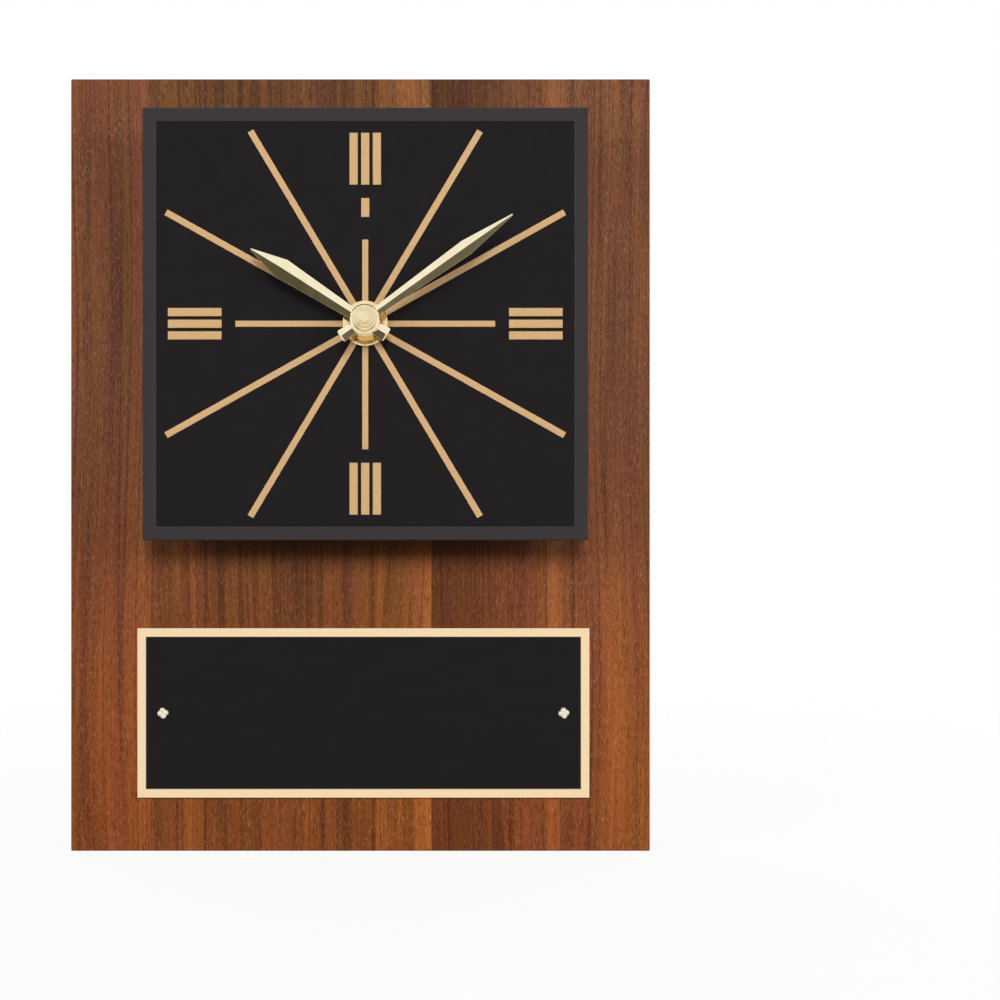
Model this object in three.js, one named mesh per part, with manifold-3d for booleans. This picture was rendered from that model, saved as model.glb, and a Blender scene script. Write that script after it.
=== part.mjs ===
// Clock plaque: a walnut wall board that carries a quartz clock head and a brass nameplate.
// Units are millimetres. The parts are laid out face up, as on a bench: x to the right, y up the
// plaque, z out of the wall, with z = 0 on the back of the board and the board's centre at x = y = 0.
// The finished group is then stood up, so that +Z is up and the front faces -Y.

import * as THREE from 'three';
import { mergeVertices } from 'three/addons/utils/BufferGeometryUtils.js';
import Module from 'manifold-3d';

const wasm = await Module();
wasm.setup();

// Fits
const SEAT_GAP = 0.1; // between faces that rest on each other
const PRESS_GAP = 0.05; // radial, pieces pressed or screwed together
const RUNNING_GAP = 0.1; // radial, shafts that turn in a bore
const LOOSE_GAP = 0.3; // around pieces that drop into a space

// Walnut board
const BOARD_WIDTH = 228.6;
const BOARD_HEIGHT = 304.8;
const BOARD_THICKNESS = 19.05;
const CLOCK_RISE = 52.6; // hand axis above the board's centre
const CLOCK_SHIFT = 2.4; // and to the right of it
const ACCESS_MARGIN = 4; // opening in the board, around the movement
const ACCESS_CORNER = 3;

// Keyhole slot routed in the back of the board
const HANG_RISE = 118; // entry hole above the board's centre
const HANG_TRAVEL = 14;
const HANG_ENTRY_RADIUS = 5;
const HANG_NECK_WIDTH = 5;
const HANG_LIP = 3;
const HANG_DEPTH = 9;

// Nameplate and its two pins
const PLATE_WIDTH = 178;
const PLATE_HEIGHT = 66.7;
const PLATE_THICKNESS = 0.8;
const PLATE_DROP = 97.7; // plate's centre below the board's centre
const PLATE_SHIFT = 1.2; // and to the right of it
const PLATE_BORDER = 3.3;
const PLATE_BORDER_RISE = 0.2;
const PIN_INSET = 10.1; // pin centre from the plate's end
const PIN_HEAD_RADIUS = 2.35;
const PIN_HEAD_HEIGHT = 1.2;
const PIN_SHANK_RADIUS = 0.6;
const PIN_SHANK_LENGTH = 10;

// Moulded clock case
const CASE_WIDTH = 169.7;
const CASE_HEIGHT = 164.8;
const CASE_DEPTH = 16;
const CASE_WALL = 2.2;
const CASE_FRONT = 2.5;
const RIM_WIDTH = 5.4;
const DIAL_RECESS = 0.8;
const BODY_SIZE = 120; // square hollow body behind the front
const BOSS_INSET = 8; // boss centre from the body's sides
const BOSS_RADIUS = 4;
const RIB_LENGTH = 40; // ribs that keep the movement from turning
const RIB_THICKNESS = 1.6;
const RIB_HEIGHT = 7;

// Screws that hold the case, driven from the back of the board
const SCREW_RADIUS = 1.5;
const SCREW_HEAD_RADIUS = 3.3;
const SCREW_HEAD_HEIGHT = 2.2;
const SCREW_TIP_GAP = 3;
const COUNTERBORE_DEPTH = 3.5;

// Dial and its gold marks
const DIAL_THICKNESS = 0.7;
const MARK_RELIEF = 0.15;
const MARK_MARGIN = 4.2; // from the dial's edge
const BAR_LENGTH = 20.4;
const BAR_WIDTH = 3.1;
const BAR_GAP = 1.33;
const LINE_GAP = 5.3; // between the bars and the thin lines
const LINE_WIDTH = 2.28;
const RAY_WIDTH = 2.45;
const RAY_START = 5.6; // lines begin under the washer
const BLOCK_LENGTH = 7.4; // short block below the bars at twelve
const BLOCK_BREAK = 8.9; // bare stretch under that block

// Hub stack, from the dial outward
const WASHER_RADIUS = 8.6;
const WASHER_HEIGHT = 1.6;
const WASHER_EDGE = 0.5;
const NUT_RADIUS = 5.4;
const NUT_HEIGHT = 1.8;
const HOUR_BOSS_RADIUS = 4.9;
const MINUTE_BOSS_RADIUS = 5.7;
const BOSS_HEIGHT = 2.2;
const HAND_GAP = 0.9; // between the stacked bosses
const BLADE_SEAT = 0.4; // blade's underside above its boss's underside
const CAP_RADII = [4.7, 3.6, 2.65];
const CAP_STEP = 1.2;

// Hands, as stations of distance from the axis and width
const HAND_EDGE = 0.35;
const HAND_SLOPE = 0.42; // rise of the ridge over half the width
const HOUR_ANGLE = 302.3; // degrees clockwise from twelve
const HOUR_LENGTH = 50.9;
const HOUR_WIDEST = 36.9;
const HOUR_WIDTH = 7.9;
const HOUR_NECK = 4.2;
const HOUR_TAIL = 10.05;
const HOUR_TAIL_WIDTH = 5.8;
const MINUTE_ANGLE = 54.6;
const MINUTE_LENGTH = 67.9;
const MINUTE_WIDEST = 46.5;
const MINUTE_WIDTH = 6;
const MINUTE_NECK = 3.4;
const MINUTE_TAIL = 11.2;
const MINUTE_TAIL_WIDTH = 5;
const HAND_TIP = 0.6;

// Quartz movement: case and fixing
const TRAY_WALL = 1.5;
const COVER_THICKNESS = 1.5;
const BUSHING_RADIUS = 4;
const FLANGE_RADIUS = 7;
const FLANGE_THICKNESS = 1;
const GASKET_RADIUS = 9;
const GASKET_THICKNESS = 0.8;
const PILLAR_RADIUS = 1.6;
const MIDDLE_PLATE = 0.8;

// Shafts
const HOUR_TUBE_RADIUS = 2.5;
const MINUTE_ARBOR_RADIUS = 1.5;
const TRAIN_ARBOR_RADIUS = 0.45;
const PIVOT_DEPTH = 1; // arbor ends in the rear cover
const MOTION_POST_RADIUS = 0.7;
const SETTING_ARBOR_RADIUS = 1.5;
const SETTING_PIVOT_RADIUS = 0.6;
const KNOB_RADIUS = 6.5;
const KNOB_HEIGHT = 4;
const KNOB_FLUTES = 14;
const KNOB_FLUTE_DEPTH = 0.5;

// Gear train: the rotor turns 1800 times for one turn of the centre wheel
const TRAIN_MODULE = 0.4;
const ROTOR_MODULE = 0.27;
const MOTION_MODULE = 0.42;
const CENTRE_TEETH = 48;
const THIRD_TEETH = 45;
const FOURTH_TEETH = 30;
const INTERMEDIATE_TEETH = 36;
const PINION_TEETH = 6;
const CANNON_TEETH = 10;
const MOTION_TEETH = 30;
const MOTION_PINION_TEETH = 8;
const HOUR_TEETH = 32;
const SETTING_TEETH = 15;
const WHEEL_THICKNESS = 1.2;
const LAYER_GAP = 0.7; // between one wheel's layer and the next
const THIRD_DIRECTION = 120; // degrees from +x, each axis seen from the one before it
const FOURTH_DIRECTION = 20;
const INTERMEDIATE_DIRECTION = -10;
const ROTOR_DIRECTION = -20;
const MOTION_DIRECTION = -20;
const SETTING_DIRECTION = 0;

// Slim straight-sided teeth, in modules
const TOOTH_ABOVE = 0.8; // tip above the pitch circle
const TOOTH_BELOW = 1.1; // root below it
const PINION_LIMIT = 20; // a gear with fewer teeth than this is a pinion
const PINION_HALVES = [0.5, 0.56, 0.26]; // half a tooth's thickness at the root, pitch circle and tip
const WHEEL_HALVES = [0.92, 0.34]; // at the root and the tip

// Stepping motor and circuit
const MAGNET_RADIUS = 2;
const MAGNET_LENGTH = 3;
const STATOR_AIR_GAP = 0.4;
const STATOR_MARGIN = 1.5; // plate left around the rotor hole
const STATOR_ARM = 3;
const STATOR_THICKNESS = 0.8;
const COIL_LENGTH = 15;
const COIL_RADIUS = 2.2;
const COIL_FLANGE = 0.8;
const COIL_FLANGE_RADIUS = 2.5;
const BOBBIN_WALL = 0.4;
const CORE_WIDTH = 1.6;
const CIRCUIT_WIDTH = 9.5;
const CIRCUIT_HEIGHT = 30;
const CIRCUIT_THICKNESS = 0.8;
const CIRCUIT_POST_RADIUS = 1.2;
const CHIP_SIZE = 4;
const CHIP_HEIGHT = 1;
const CRYSTAL_RADIUS = 1;
const CRYSTAL_LENGTH = 6;

// AA cell and its contacts
const CELL_RADIUS = 7.25;
const CELL_LENGTH = 49.2;
const CELL_NUB_RADIUS = 2.75;
const CELL_NUB_LENGTH = 1.3;
const CONTACT_THICKNESS = 0.4;
const CONTACT_WIDTH = 2.6;
const CONTACT_DROP = 12; // how far a contact reaches down the cell's end

// Shares of a size, in profiles
const PIN_SHOULDER = 0.4; // of the head's height
const PIN_DOME_RADIUS = 0.6; // of the head's radius
const PIN_DOME_HEIGHT = 0.85; // of the head's height
const SCREW_CROWN = 0.75; // of the head's radius
const NUT_CHAMFER = 0.25; // of the nut's height
const BOSS_LIP = 0.12; // of the boss's radius
const NECK_START = 0.7; // of the boss's radius, behind the axis
const CAP_SHOULDER = 0.8; // of a cap step
const CAP_BUTTON = 0.6; // of a cap step, the top step's straight side
const CAP_DOME = 0.1; // of a cap step
const CAP_CROWN = 0.7; // of the top step's radius
const CELL_ROUND = 0.1; // of the cell's radius

const CUT_PAST = 1; // how far a cutter runs past what it cuts

const ROUND = 24; // segments of a full circle
const SMALL_ROUND = 10;
const CORNER_ROUND = 4;

const FINISH = {
  walnut: { color: 0x75462c, roughness: 0.5, metalness: 0 },
  charcoal: { color: 0x3d3a3b, roughness: 0.7, metalness: 0 },
  dialBlack: { color: 0x242223, roughness: 0.6, metalness: 0 },
  gold: { color: 0xd9b583, roughness: 0.25, metalness: 1 },
  brass: { color: 0xc9a468, roughness: 0.35, metalness: 1 },
  steel: { color: 0xa8a9ab, roughness: 0.4, metalness: 1 },
  rubber: { color: 0x1b1b1b, roughness: 0.9, metalness: 0 },
  movementBlack: { color: 0x202124, roughness: 0.55, metalness: 0 },
  whitePlastic: { color: 0xe6e3da, roughness: 0.5, metalness: 0 },
  amberPlastic: { color: 0xc98b3a, roughness: 0.5, metalness: 0 },
  copper: { color: 0xb5673a, roughness: 0.4, metalness: 1 },
  circuit: { color: 0x2f5d3a, roughness: 0.6, metalness: 0 },
  cell: { color: 0x3b4048, roughness: 0.4, metalness: 0.5 },
};

// Solids

function solid(geometry) {
  const bare = new THREE.BufferGeometry();
  bare.setAttribute('position', geometry.getAttribute('position'));
  bare.setIndex(geometry.index);
  const merged = mergeVertices(bare, 1e-5);
  const corners = merged.index.array;
  const triangles = [];
  for (let i = 0; i < corners.length; i += 3) {
    const [a, b, c] = corners.slice(i, i + 3);
    if (a !== b && b !== c && c !== a) triangles.push(a, b, c);
  }
  return new wasm.Manifold(new wasm.Mesh({
    numProp: 3,
    vertProperties: merged.getAttribute('position').array,
    triVerts: new Uint32Array(triangles),
  }));
}

function join(...pieces) {
  return pieces.reduce((whole, piece) => whole.add(piece));
}

function cut(body, ...tools) {
  return tools.reduce((rest, tool) => rest.subtract(tool), body);
}

function extrude(shape, from, to, segments = SMALL_ROUND) {
  const options = { depth: to - from, bevelEnabled: false, curveSegments: segments };
  return solid(new THREE.ExtrudeGeometry(shape, options).translate(0, 0, from));
}

function box(x0, x1, y0, y1, z0, z1) {
  const geometry = new THREE.BoxGeometry(x1 - x0, y1 - y0, z1 - z0);
  return solid(geometry.translate((x0 + x1) / 2, (y0 + y1) / 2, (z0 + z1) / 2));
}

function rod(radius, from, to, at = { x: 0, y: 0 }, segments = ROUND) {
  const geometry = new THREE.CylinderGeometry(radius, radius, to - from, segments);
  return solid(geometry.rotateX(Math.PI / 2).translate(at.x, at.y, (from + to) / 2));
}

// A turned piece about z, from [radius, z] corners listed round the section
function turned(corners, segments = ROUND) {
  const profile = [...corners, corners[0]].map(([radius, z]) => new THREE.Vector2(radius, z));
  return solid(new THREE.LatheGeometry(profile, segments).rotateX(Math.PI / 2));
}

function rectangle(width, height, corner = 0) {
  const [w, h] = [width / 2, height / 2];
  const shape = new THREE.Shape();
  if (corner === 0) {
    shape.moveTo(-w, -h).lineTo(w, -h).lineTo(w, h).lineTo(-w, h);
    return shape;
  }
  shape.absarc(w - corner, corner - h, corner, -Math.PI / 2, 0);
  shape.absarc(w - corner, h - corner, corner, 0, Math.PI / 2);
  shape.absarc(corner - w, h - corner, corner, Math.PI / 2, Math.PI);
  shape.absarc(corner - w, corner - h, corner, Math.PI, Math.PI * 1.5);
  return shape;
}

function piece(name, body, finish) {
  const mesh = body.getMesh();
  const geometry = new THREE.BufferGeometry();
  geometry.setAttribute('position', new THREE.BufferAttribute(mesh.vertProperties, 3));
  geometry.setIndex(new THREE.BufferAttribute(mesh.triVerts, 1));
  const material = new THREE.MeshStandardMaterial({ ...FINISH[finish], flatShading: true });
  const node = new THREE.Mesh(geometry, material);
  node.name = name;
  return node;
}

// Gears

function gear(teeth, module) {
  const count = Math.round(teeth);
  const pitch = (count * module) / 2;
  return { count, module, pitch, tip: pitch + TOOTH_ABOVE * module, root: pitch - TOOTH_BELOW * module };
}

function gearShape({ count, module, pitch, tip, root }, phase) {
  const pinion = count < PINION_LIMIT;
  const radii = pinion ? [root, pitch, tip] : [root, tip];
  const halves = pinion ? PINION_HALVES : WHEEL_HALVES;
  const flank = radii.map((radius, i) => [radius, halves[i]]);
  const shape = new THREE.Shape();
  for (let tooth = 0; tooth < count; tooth += 1) {
    const middle = phase + (tooth * 2 * Math.PI) / count;
    const rising = flank.map(([radius, half]) => [radius, middle - (half * module) / radius]);
    const falling = flank.map(([radius, half]) => [radius, middle + (half * module) / radius]);
    for (const [radius, angle] of [...rising, ...falling.reverse()]) {
      const corner = [radius * Math.cos(angle), radius * Math.sin(angle)];
      if (shape.curves.length === 0 && shape.currentPoint.lengthSq() === 0) shape.moveTo(...corner);
      else shape.lineTo(...corner);
    }
  }
  return shape;
}

// Phase of a driven gear that puts one of its gaps opposite a tooth of the gear that drives it
function meshPhase(driver, driverPhase, direction, driven) {
  const toothAngle = (2 * Math.PI) / driver.count;
  const gapAngle = (2 * Math.PI) / driven.count;
  const along = (direction - driverPhase) / toothAngle;
  return direction + Math.PI - gapAngle * (0.5 - along);
}

function axisFrom({ x, y }, distance, degrees) {
  const angle = THREE.MathUtils.degToRad(degrees);
  return { x: x + distance * Math.cos(angle), y: y + distance * Math.sin(angle), angle };
}

const centreWheel = gear(CENTRE_TEETH, TRAIN_MODULE);
const thirdWheel = gear(THIRD_TEETH, TRAIN_MODULE);
const fourthWheel = gear(FOURTH_TEETH, TRAIN_MODULE);
const trainPinion = gear(PINION_TEETH, TRAIN_MODULE);
const intermediateWheel = gear(INTERMEDIATE_TEETH, ROTOR_MODULE);
const rotorPinion = gear(PINION_TEETH, ROTOR_MODULE);
const cannonPinion = gear(CANNON_TEETH, MOTION_MODULE);
const motionWheel = gear(MOTION_TEETH, MOTION_MODULE);
const motionDistance = cannonPinion.pitch + motionWheel.pitch;
const hourModule = (2 * motionDistance) / (Math.round(MOTION_PINION_TEETH) + Math.round(HOUR_TEETH));
const motionPinion = gear(MOTION_PINION_TEETH, hourModule);
const hourWheel = gear(HOUR_TEETH, hourModule);
const settingPinion = gear(SETTING_TEETH, MOTION_MODULE);

const handAxis = { x: 0, y: 0 };
const thirdAxis = axisFrom(handAxis, centreWheel.pitch + trainPinion.pitch, THIRD_DIRECTION);
const fourthAxis = axisFrom(thirdAxis, thirdWheel.pitch + trainPinion.pitch, FOURTH_DIRECTION);
const intermediateAxis = axisFrom(fourthAxis, fourthWheel.pitch + trainPinion.pitch, INTERMEDIATE_DIRECTION);
const rotorAxis = axisFrom(intermediateAxis, intermediateWheel.pitch + rotorPinion.pitch, ROTOR_DIRECTION);
const motionAxis = axisFrom(handAxis, motionDistance, MOTION_DIRECTION);
const settingAxis = axisFrom(motionAxis, motionWheel.pitch + settingPinion.pitch, SETTING_DIRECTION);

const thirdPinionPhase = meshPhase(centreWheel, 0, thirdAxis.angle, trainPinion);
const fourthPinionPhase = meshPhase(thirdWheel, 0, fourthAxis.angle, trainPinion);
const intermediatePinionPhase = meshPhase(fourthWheel, 0, intermediateAxis.angle, trainPinion);
const rotorPinionPhase = meshPhase(intermediateWheel, 0, rotorAxis.angle, rotorPinion);
const motionWheelPhase = meshPhase(cannonPinion, 0, motionAxis.angle, motionWheel);
const settingPinionPhase = meshPhase(motionWheel, motionWheelPhase, settingAxis.angle, settingPinion);
const hourWheelPhase = meshPhase(motionPinion, 0, motionAxis.angle + Math.PI, hourWheel);

// Depths in the movement, measured back from its front face
const hourDepth = TRAY_WALL + LAYER_GAP;
const motionDepth = hourDepth + WHEEL_THICKNESS + LAYER_GAP;
const plateDepth = motionDepth + WHEEL_THICKNESS + LAYER_GAP;
const centreDepth = plateDepth + MIDDLE_PLATE + LAYER_GAP;
const thirdDepth = centreDepth + WHEEL_THICKNESS + LAYER_GAP;
const fourthDepth = thirdDepth + WHEEL_THICKNESS + LAYER_GAP;
const intermediateDepth = fourthDepth + WHEEL_THICKNESS + LAYER_GAP;
const trayDepth = intermediateDepth + WHEEL_THICKNESS + LAYER_GAP;
const coverFront = trayDepth + SEAT_GAP;
const coverBack = coverFront + COVER_THICKNESS;
const arborFront = plateDepth + SEAT_GAP;
const arborBack = coverFront + PIVOT_DEPTH - LOOSE_GAP;

// Stepping motor, laid out to the right of the rotor
const statorHole = MAGNET_RADIUS + STATOR_AIR_GAP;
const statorDepth = thirdDepth;
const magnetDepth = statorDepth + STATOR_THICKNESS / 2 - MAGNET_LENGTH / 2;
const statorLeft = rotorAxis.x - statorHole - STATOR_MARGIN;
const statorInner = rotorAxis.x + statorHole + STATOR_MARGIN;
const coilAxisX = statorInner + LOOSE_GAP + COIL_FLANGE_RADIUS;
const coilMiddle = rotorAxis.y + COIL_LENGTH / 4;
const coilBottom = coilMiddle - COIL_LENGTH / 2;
const coilTop = coilMiddle + COIL_LENGTH / 2;
const statorBottom = coilBottom - LOOSE_GAP - STATOR_ARM;
const statorTop = coilTop + LOOSE_GAP + STATOR_ARM;
const coreDepth = statorDepth + STATOR_THICKNESS + SEAT_GAP;
const coilDepth = coreDepth + STATOR_THICKNESS / 2;

// Inside of the movement's tray: wheels above the partition, the cell below it
const wheelRoom = Math.max(centreWheel.tip, motionWheel.tip - motionAxis.y);
const partitionTop = -(wheelRoom + LOOSE_GAP);
const partitionBottom = partitionTop - TRAY_WALL;
const cellAxisY = partitionBottom - LOOSE_GAP - CELL_RADIUS;
const trayHalfHeight = Math.max(LOOSE_GAP + CELL_RADIUS - cellAxisY, statorTop + LOOSE_GAP) + TRAY_WALL;
const cellHalfLength = (CELL_LENGTH + CELL_NUB_LENGTH) / 2;
const contactX = cellHalfLength + LOOSE_GAP + CONTACT_THICKNESS / 2;
const contactReach = contactX + CONTACT_THICKNESS / 2;
const coilReach = coilAxisX + COIL_FLANGE_RADIUS;
const trayHalfWidth = Math.max(contactReach, coilReach) + LOOSE_GAP + TRAY_WALL;
const roomHalfWidth = trayHalfWidth - TRAY_WALL;
const roomHalfHeight = trayHalfHeight - TRAY_WALL;
const circuitDepth = coreDepth;
const circuitBack = circuitDepth + CIRCUIT_THICKNESS;
const circuitLeft = -roomHalfWidth + 2 * LOOSE_GAP;
const circuitBottom = partitionTop + 2 * LOOSE_GAP + CONTACT_THICKNESS;
const contactFront = circuitBack + LOOSE_GAP;
const tongueY = partitionTop + LOOSE_GAP + CONTACT_THICKNESS / 2;

// Heights on the plaque
const caseBack = BOARD_THICKNESS + SEAT_GAP;
const caseFace = caseBack + CASE_DEPTH;
const dialSeat = caseFace - DIAL_RECESS;
const dialFace = dialSeat + SEAT_GAP + DIAL_THICKNESS;
const caseInside = dialSeat - CASE_FRONT;
const gasketBack = caseInside - SEAT_GAP - GASKET_THICKNESS;
const flangeBack = gasketBack - SEAT_GAP - FLANGE_THICKNESS;
const movementFace = flangeBack - SEAT_GAP;
const washerSeat = dialFace + MARK_RELIEF + SEAT_GAP;
const nutSeat = washerSeat + WASHER_HEIGHT + SEAT_GAP;
const hourBossSeat = nutSeat + NUT_HEIGHT + SEAT_GAP + LOOSE_GAP;
const minuteBossSeat = hourBossSeat + BOSS_HEIGHT + HAND_GAP;
const capSeat = minuteBossSeat + BOSS_HEIGHT + SEAT_GAP;
const recess = { width: CASE_WIDTH - 2 * RIM_WIDTH, height: CASE_HEIGHT - 2 * RIM_WIDTH };
const dialSize = { width: recess.width - LOOSE_GAP, height: recess.height - LOOSE_GAP };
const bossOffset = BODY_SIZE / 2 - BOSS_INSET;
const screwCorners = [[-1, 1], [1, 1], [-1, -1], [1, -1]];
const screwPlaces = screwCorners.map(([right, up]) => ({ x: right * bossOffset, y: up * bossOffset }));
const pinX = PLATE_WIDTH / 2 - PIN_INSET;
const plateBack = BOARD_THICKNESS + SEAT_GAP;
const plateFace = plateBack + PLATE_THICKNESS;

// Board and nameplate

function keyhole() {
  const neck = HANG_NECK_WIDTH / 2;
  const top = HANG_RISE + HANG_TRAVEL;
  const headRoom = HANG_ENTRY_RADIUS;
  return join(
    rod(HANG_ENTRY_RADIUS, -CUT_PAST, HANG_DEPTH, { x: 0, y: HANG_RISE }),
    box(-neck, neck, HANG_RISE, top, -CUT_PAST, HANG_DEPTH),
    rod(neck, -CUT_PAST, HANG_DEPTH, { x: 0, y: top }),
    box(-headRoom, headRoom, HANG_RISE, top, HANG_LIP, HANG_DEPTH),
    rod(headRoom, HANG_LIP, HANG_DEPTH, { x: 0, y: top }),
  );
}

function board() {
  const through = BOARD_THICKNESS + CUT_PAST;
  const access = extrude(
    rectangle(2 * (trayHalfWidth + ACCESS_MARGIN), 2 * (trayHalfHeight + ACCESS_MARGIN), ACCESS_CORNER),
    -CUT_PAST, through, CORNER_ROUND,
  ).translate(CLOCK_SHIFT, CLOCK_RISE, 0);
  const screwHoles = screwPlaces.flatMap(({ x, y }) => {
    const at = { x: x + CLOCK_SHIFT, y: y + CLOCK_RISE };
    return [
      rod(SCREW_HEAD_RADIUS + LOOSE_GAP, -CUT_PAST, COUNTERBORE_DEPTH, at, SMALL_ROUND),
      rod(SCREW_RADIUS + LOOSE_GAP, -CUT_PAST, through, at, SMALL_ROUND),
    ];
  });
  const pinBottom = plateBack - PIN_SHANK_LENGTH - LOOSE_GAP;
  const pinHoles = [-pinX, pinX].map((x) => {
    const at = { x: x + PLATE_SHIFT, y: -PLATE_DROP };
    return rod(PIN_SHANK_RADIUS + PRESS_GAP, pinBottom, through, at, SMALL_ROUND);
  });
  const blank = extrude(rectangle(BOARD_WIDTH, BOARD_HEIGHT), 0, BOARD_THICKNESS);
  return piece('walnut_board', cut(blank, access, keyhole(), ...screwHoles, ...pinHoles), 'walnut');
}

function nameplate() {
  const inner = { width: PLATE_WIDTH - 2 * PLATE_BORDER, height: PLATE_HEIGHT - 2 * PLATE_BORDER };
  const top = plateFace + PLATE_BORDER_RISE;
  const pinHoles = [-pinX, pinX].map((x) => rod(
    PIN_SHANK_RADIUS + LOOSE_GAP, 0, top + CUT_PAST, { x, y: 0 }, SMALL_ROUND,
  ));
  const body = cut(
    extrude(rectangle(PLATE_WIDTH, PLATE_HEIGHT), plateBack, top),
    extrude(rectangle(inner.width, inner.height), plateFace, top + CUT_PAST),
    ...pinHoles,
  );
  return piece('nameplate', body, 'brass');
}

function pin(name, x) {
  const seat = plateFace + SEAT_GAP;
  const shoulder = PIN_HEAD_HEIGHT * PIN_SHOULDER;
  const node = piece(name, turned([
    [0, plateBack - PIN_SHANK_LENGTH],
    [PIN_SHANK_RADIUS, plateBack - PIN_SHANK_LENGTH + 2 * PIN_SHANK_RADIUS],
    [PIN_SHANK_RADIUS, seat],
    [PIN_HEAD_RADIUS, seat],
    [PIN_HEAD_RADIUS, seat + shoulder],
    [PIN_HEAD_RADIUS * PIN_DOME_RADIUS, seat + PIN_HEAD_HEIGHT * PIN_DOME_HEIGHT],
    [0, seat + PIN_HEAD_HEIGHT],
  ], SMALL_ROUND), 'gold');
  node.position.x = x;
  return node;
}

// Clock case and dial, about the hand axis

// A flat front that overhangs a hollow body, so that the clock stands off the board
function clockCase() {
  const inside = BODY_SIZE - 2 * CASE_WALL;
  const body = extrude(rectangle(BODY_SIZE, BODY_SIZE), caseBack, dialSeat);
  const shell = cut(
    join(extrude(rectangle(CASE_WIDTH, CASE_HEIGHT), caseInside, caseFace), body),
    extrude(rectangle(inside, inside), caseBack - CUT_PAST, caseInside),
    extrude(rectangle(recess.width, recess.height), dialSeat, caseFace + CUT_PAST),
    rod(BUSHING_RADIUS + LOOSE_GAP, caseBack, caseFace + CUT_PAST),
  );
  const rooted = caseInside + CASE_FRONT / 2;
  const bosses = screwPlaces.map((at) => rod(BOSS_RADIUS, caseBack, rooted, at));
  const pilots = screwPlaces.map((at) => rod(
    SCREW_RADIUS + PRESS_GAP, caseBack - CUT_PAST, caseInside, at, SMALL_ROUND,
  ));
  const ribs = [-1, 1].map((side) => {
    const near = side * (trayHalfWidth + LOOSE_GAP);
    const far = side * (trayHalfWidth + LOOSE_GAP + RIB_THICKNESS);
    const [left, right] = [Math.min(near, far), Math.max(near, far)];
    return box(left, right, -RIB_LENGTH / 2, RIB_LENGTH / 2, caseInside - RIB_HEIGHT, rooted);
  });
  return piece('clock_case', cut(join(shell, ...bosses, ...ribs), ...pilots), 'charcoal');
}

// A gold mark that runs outward along +y, then turned clockwise to its place
function mark(width, from, to, angle, shift = 0) {
  const base = dialFace - DIAL_THICKNESS / 2;
  const bar = box(shift - width / 2, shift + width / 2, from, to, base, dialFace + MARK_RELIEF);
  return bar.rotate([0, 0, -THREE.MathUtils.radToDeg(angle)]);
}

// Hours lie on the dial's own ellipse, so the rays spread a little towards the longer sides
function hourAngle(hour) {
  const even = (hour * Math.PI) / 6;
  return Math.atan2(dialSize.width * Math.sin(even), dialSize.height * Math.cos(even));
}

function dial() {
  const [reachX, reachY] = [dialSize.width, dialSize.height].map((size) => size / 2 - MARK_MARGIN);
  const marks = [];
  for (let hour = 0; hour < 12; hour += 1) {
    const angle = hourAngle(hour);
    const end = Math.min(reachX / Math.abs(Math.sin(angle)), reachY / Math.abs(Math.cos(angle)));
    if (hour % 3 === 0) {
      const barsStart = end - BAR_LENGTH;
      const lineEnd = barsStart - LINE_GAP;
      const blockStart = lineEnd - BLOCK_LENGTH;
      marks.push(mark(LINE_WIDTH, RAY_START, hour === 0 ? blockStart - BLOCK_BREAK : lineEnd, angle));
      if (hour === 0) marks.push(mark(BAR_WIDTH, blockStart, lineEnd, angle));
      for (const step of [-1, 0, 1]) {
        marks.push(mark(BAR_WIDTH, barsStart, end, angle, step * (BAR_WIDTH + BAR_GAP)));
      }
    } else {
      marks.push(mark(RAY_WIDTH, RAY_START, end, angle));
    }
  }
  const sheet = extrude(
    rectangle(dialSize.width, dialSize.height), dialFace - DIAL_THICKNESS, dialFace,
  );
  const hole = rod(BUSHING_RADIUS + LOOSE_GAP, dialSeat, dialFace + CUT_PAST);
  return piece('dial_plate', cut(join(sheet, ...marks), hole), 'dialBlack');
}

function caseScrew(name, at) {
  const seat = COUNTERBORE_DEPTH - SEAT_GAP;
  const tip = caseInside - SCREW_TIP_GAP;
  const node = piece(name, turned([
    [0, seat - SCREW_HEAD_HEIGHT],
    [SCREW_HEAD_RADIUS * SCREW_CROWN, seat - SCREW_HEAD_HEIGHT],
    [SCREW_HEAD_RADIUS, seat - SCREW_HEAD_HEIGHT / 2],
    [SCREW_HEAD_RADIUS, seat],
    [SCREW_RADIUS, seat],
    [SCREW_RADIUS, tip - SCREW_RADIUS],
    [0, tip],
  ], SMALL_ROUND), 'steel');
  node.position.set(at.x, at.y, 0);
  return node;
}

// Hub hardware and hands

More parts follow.
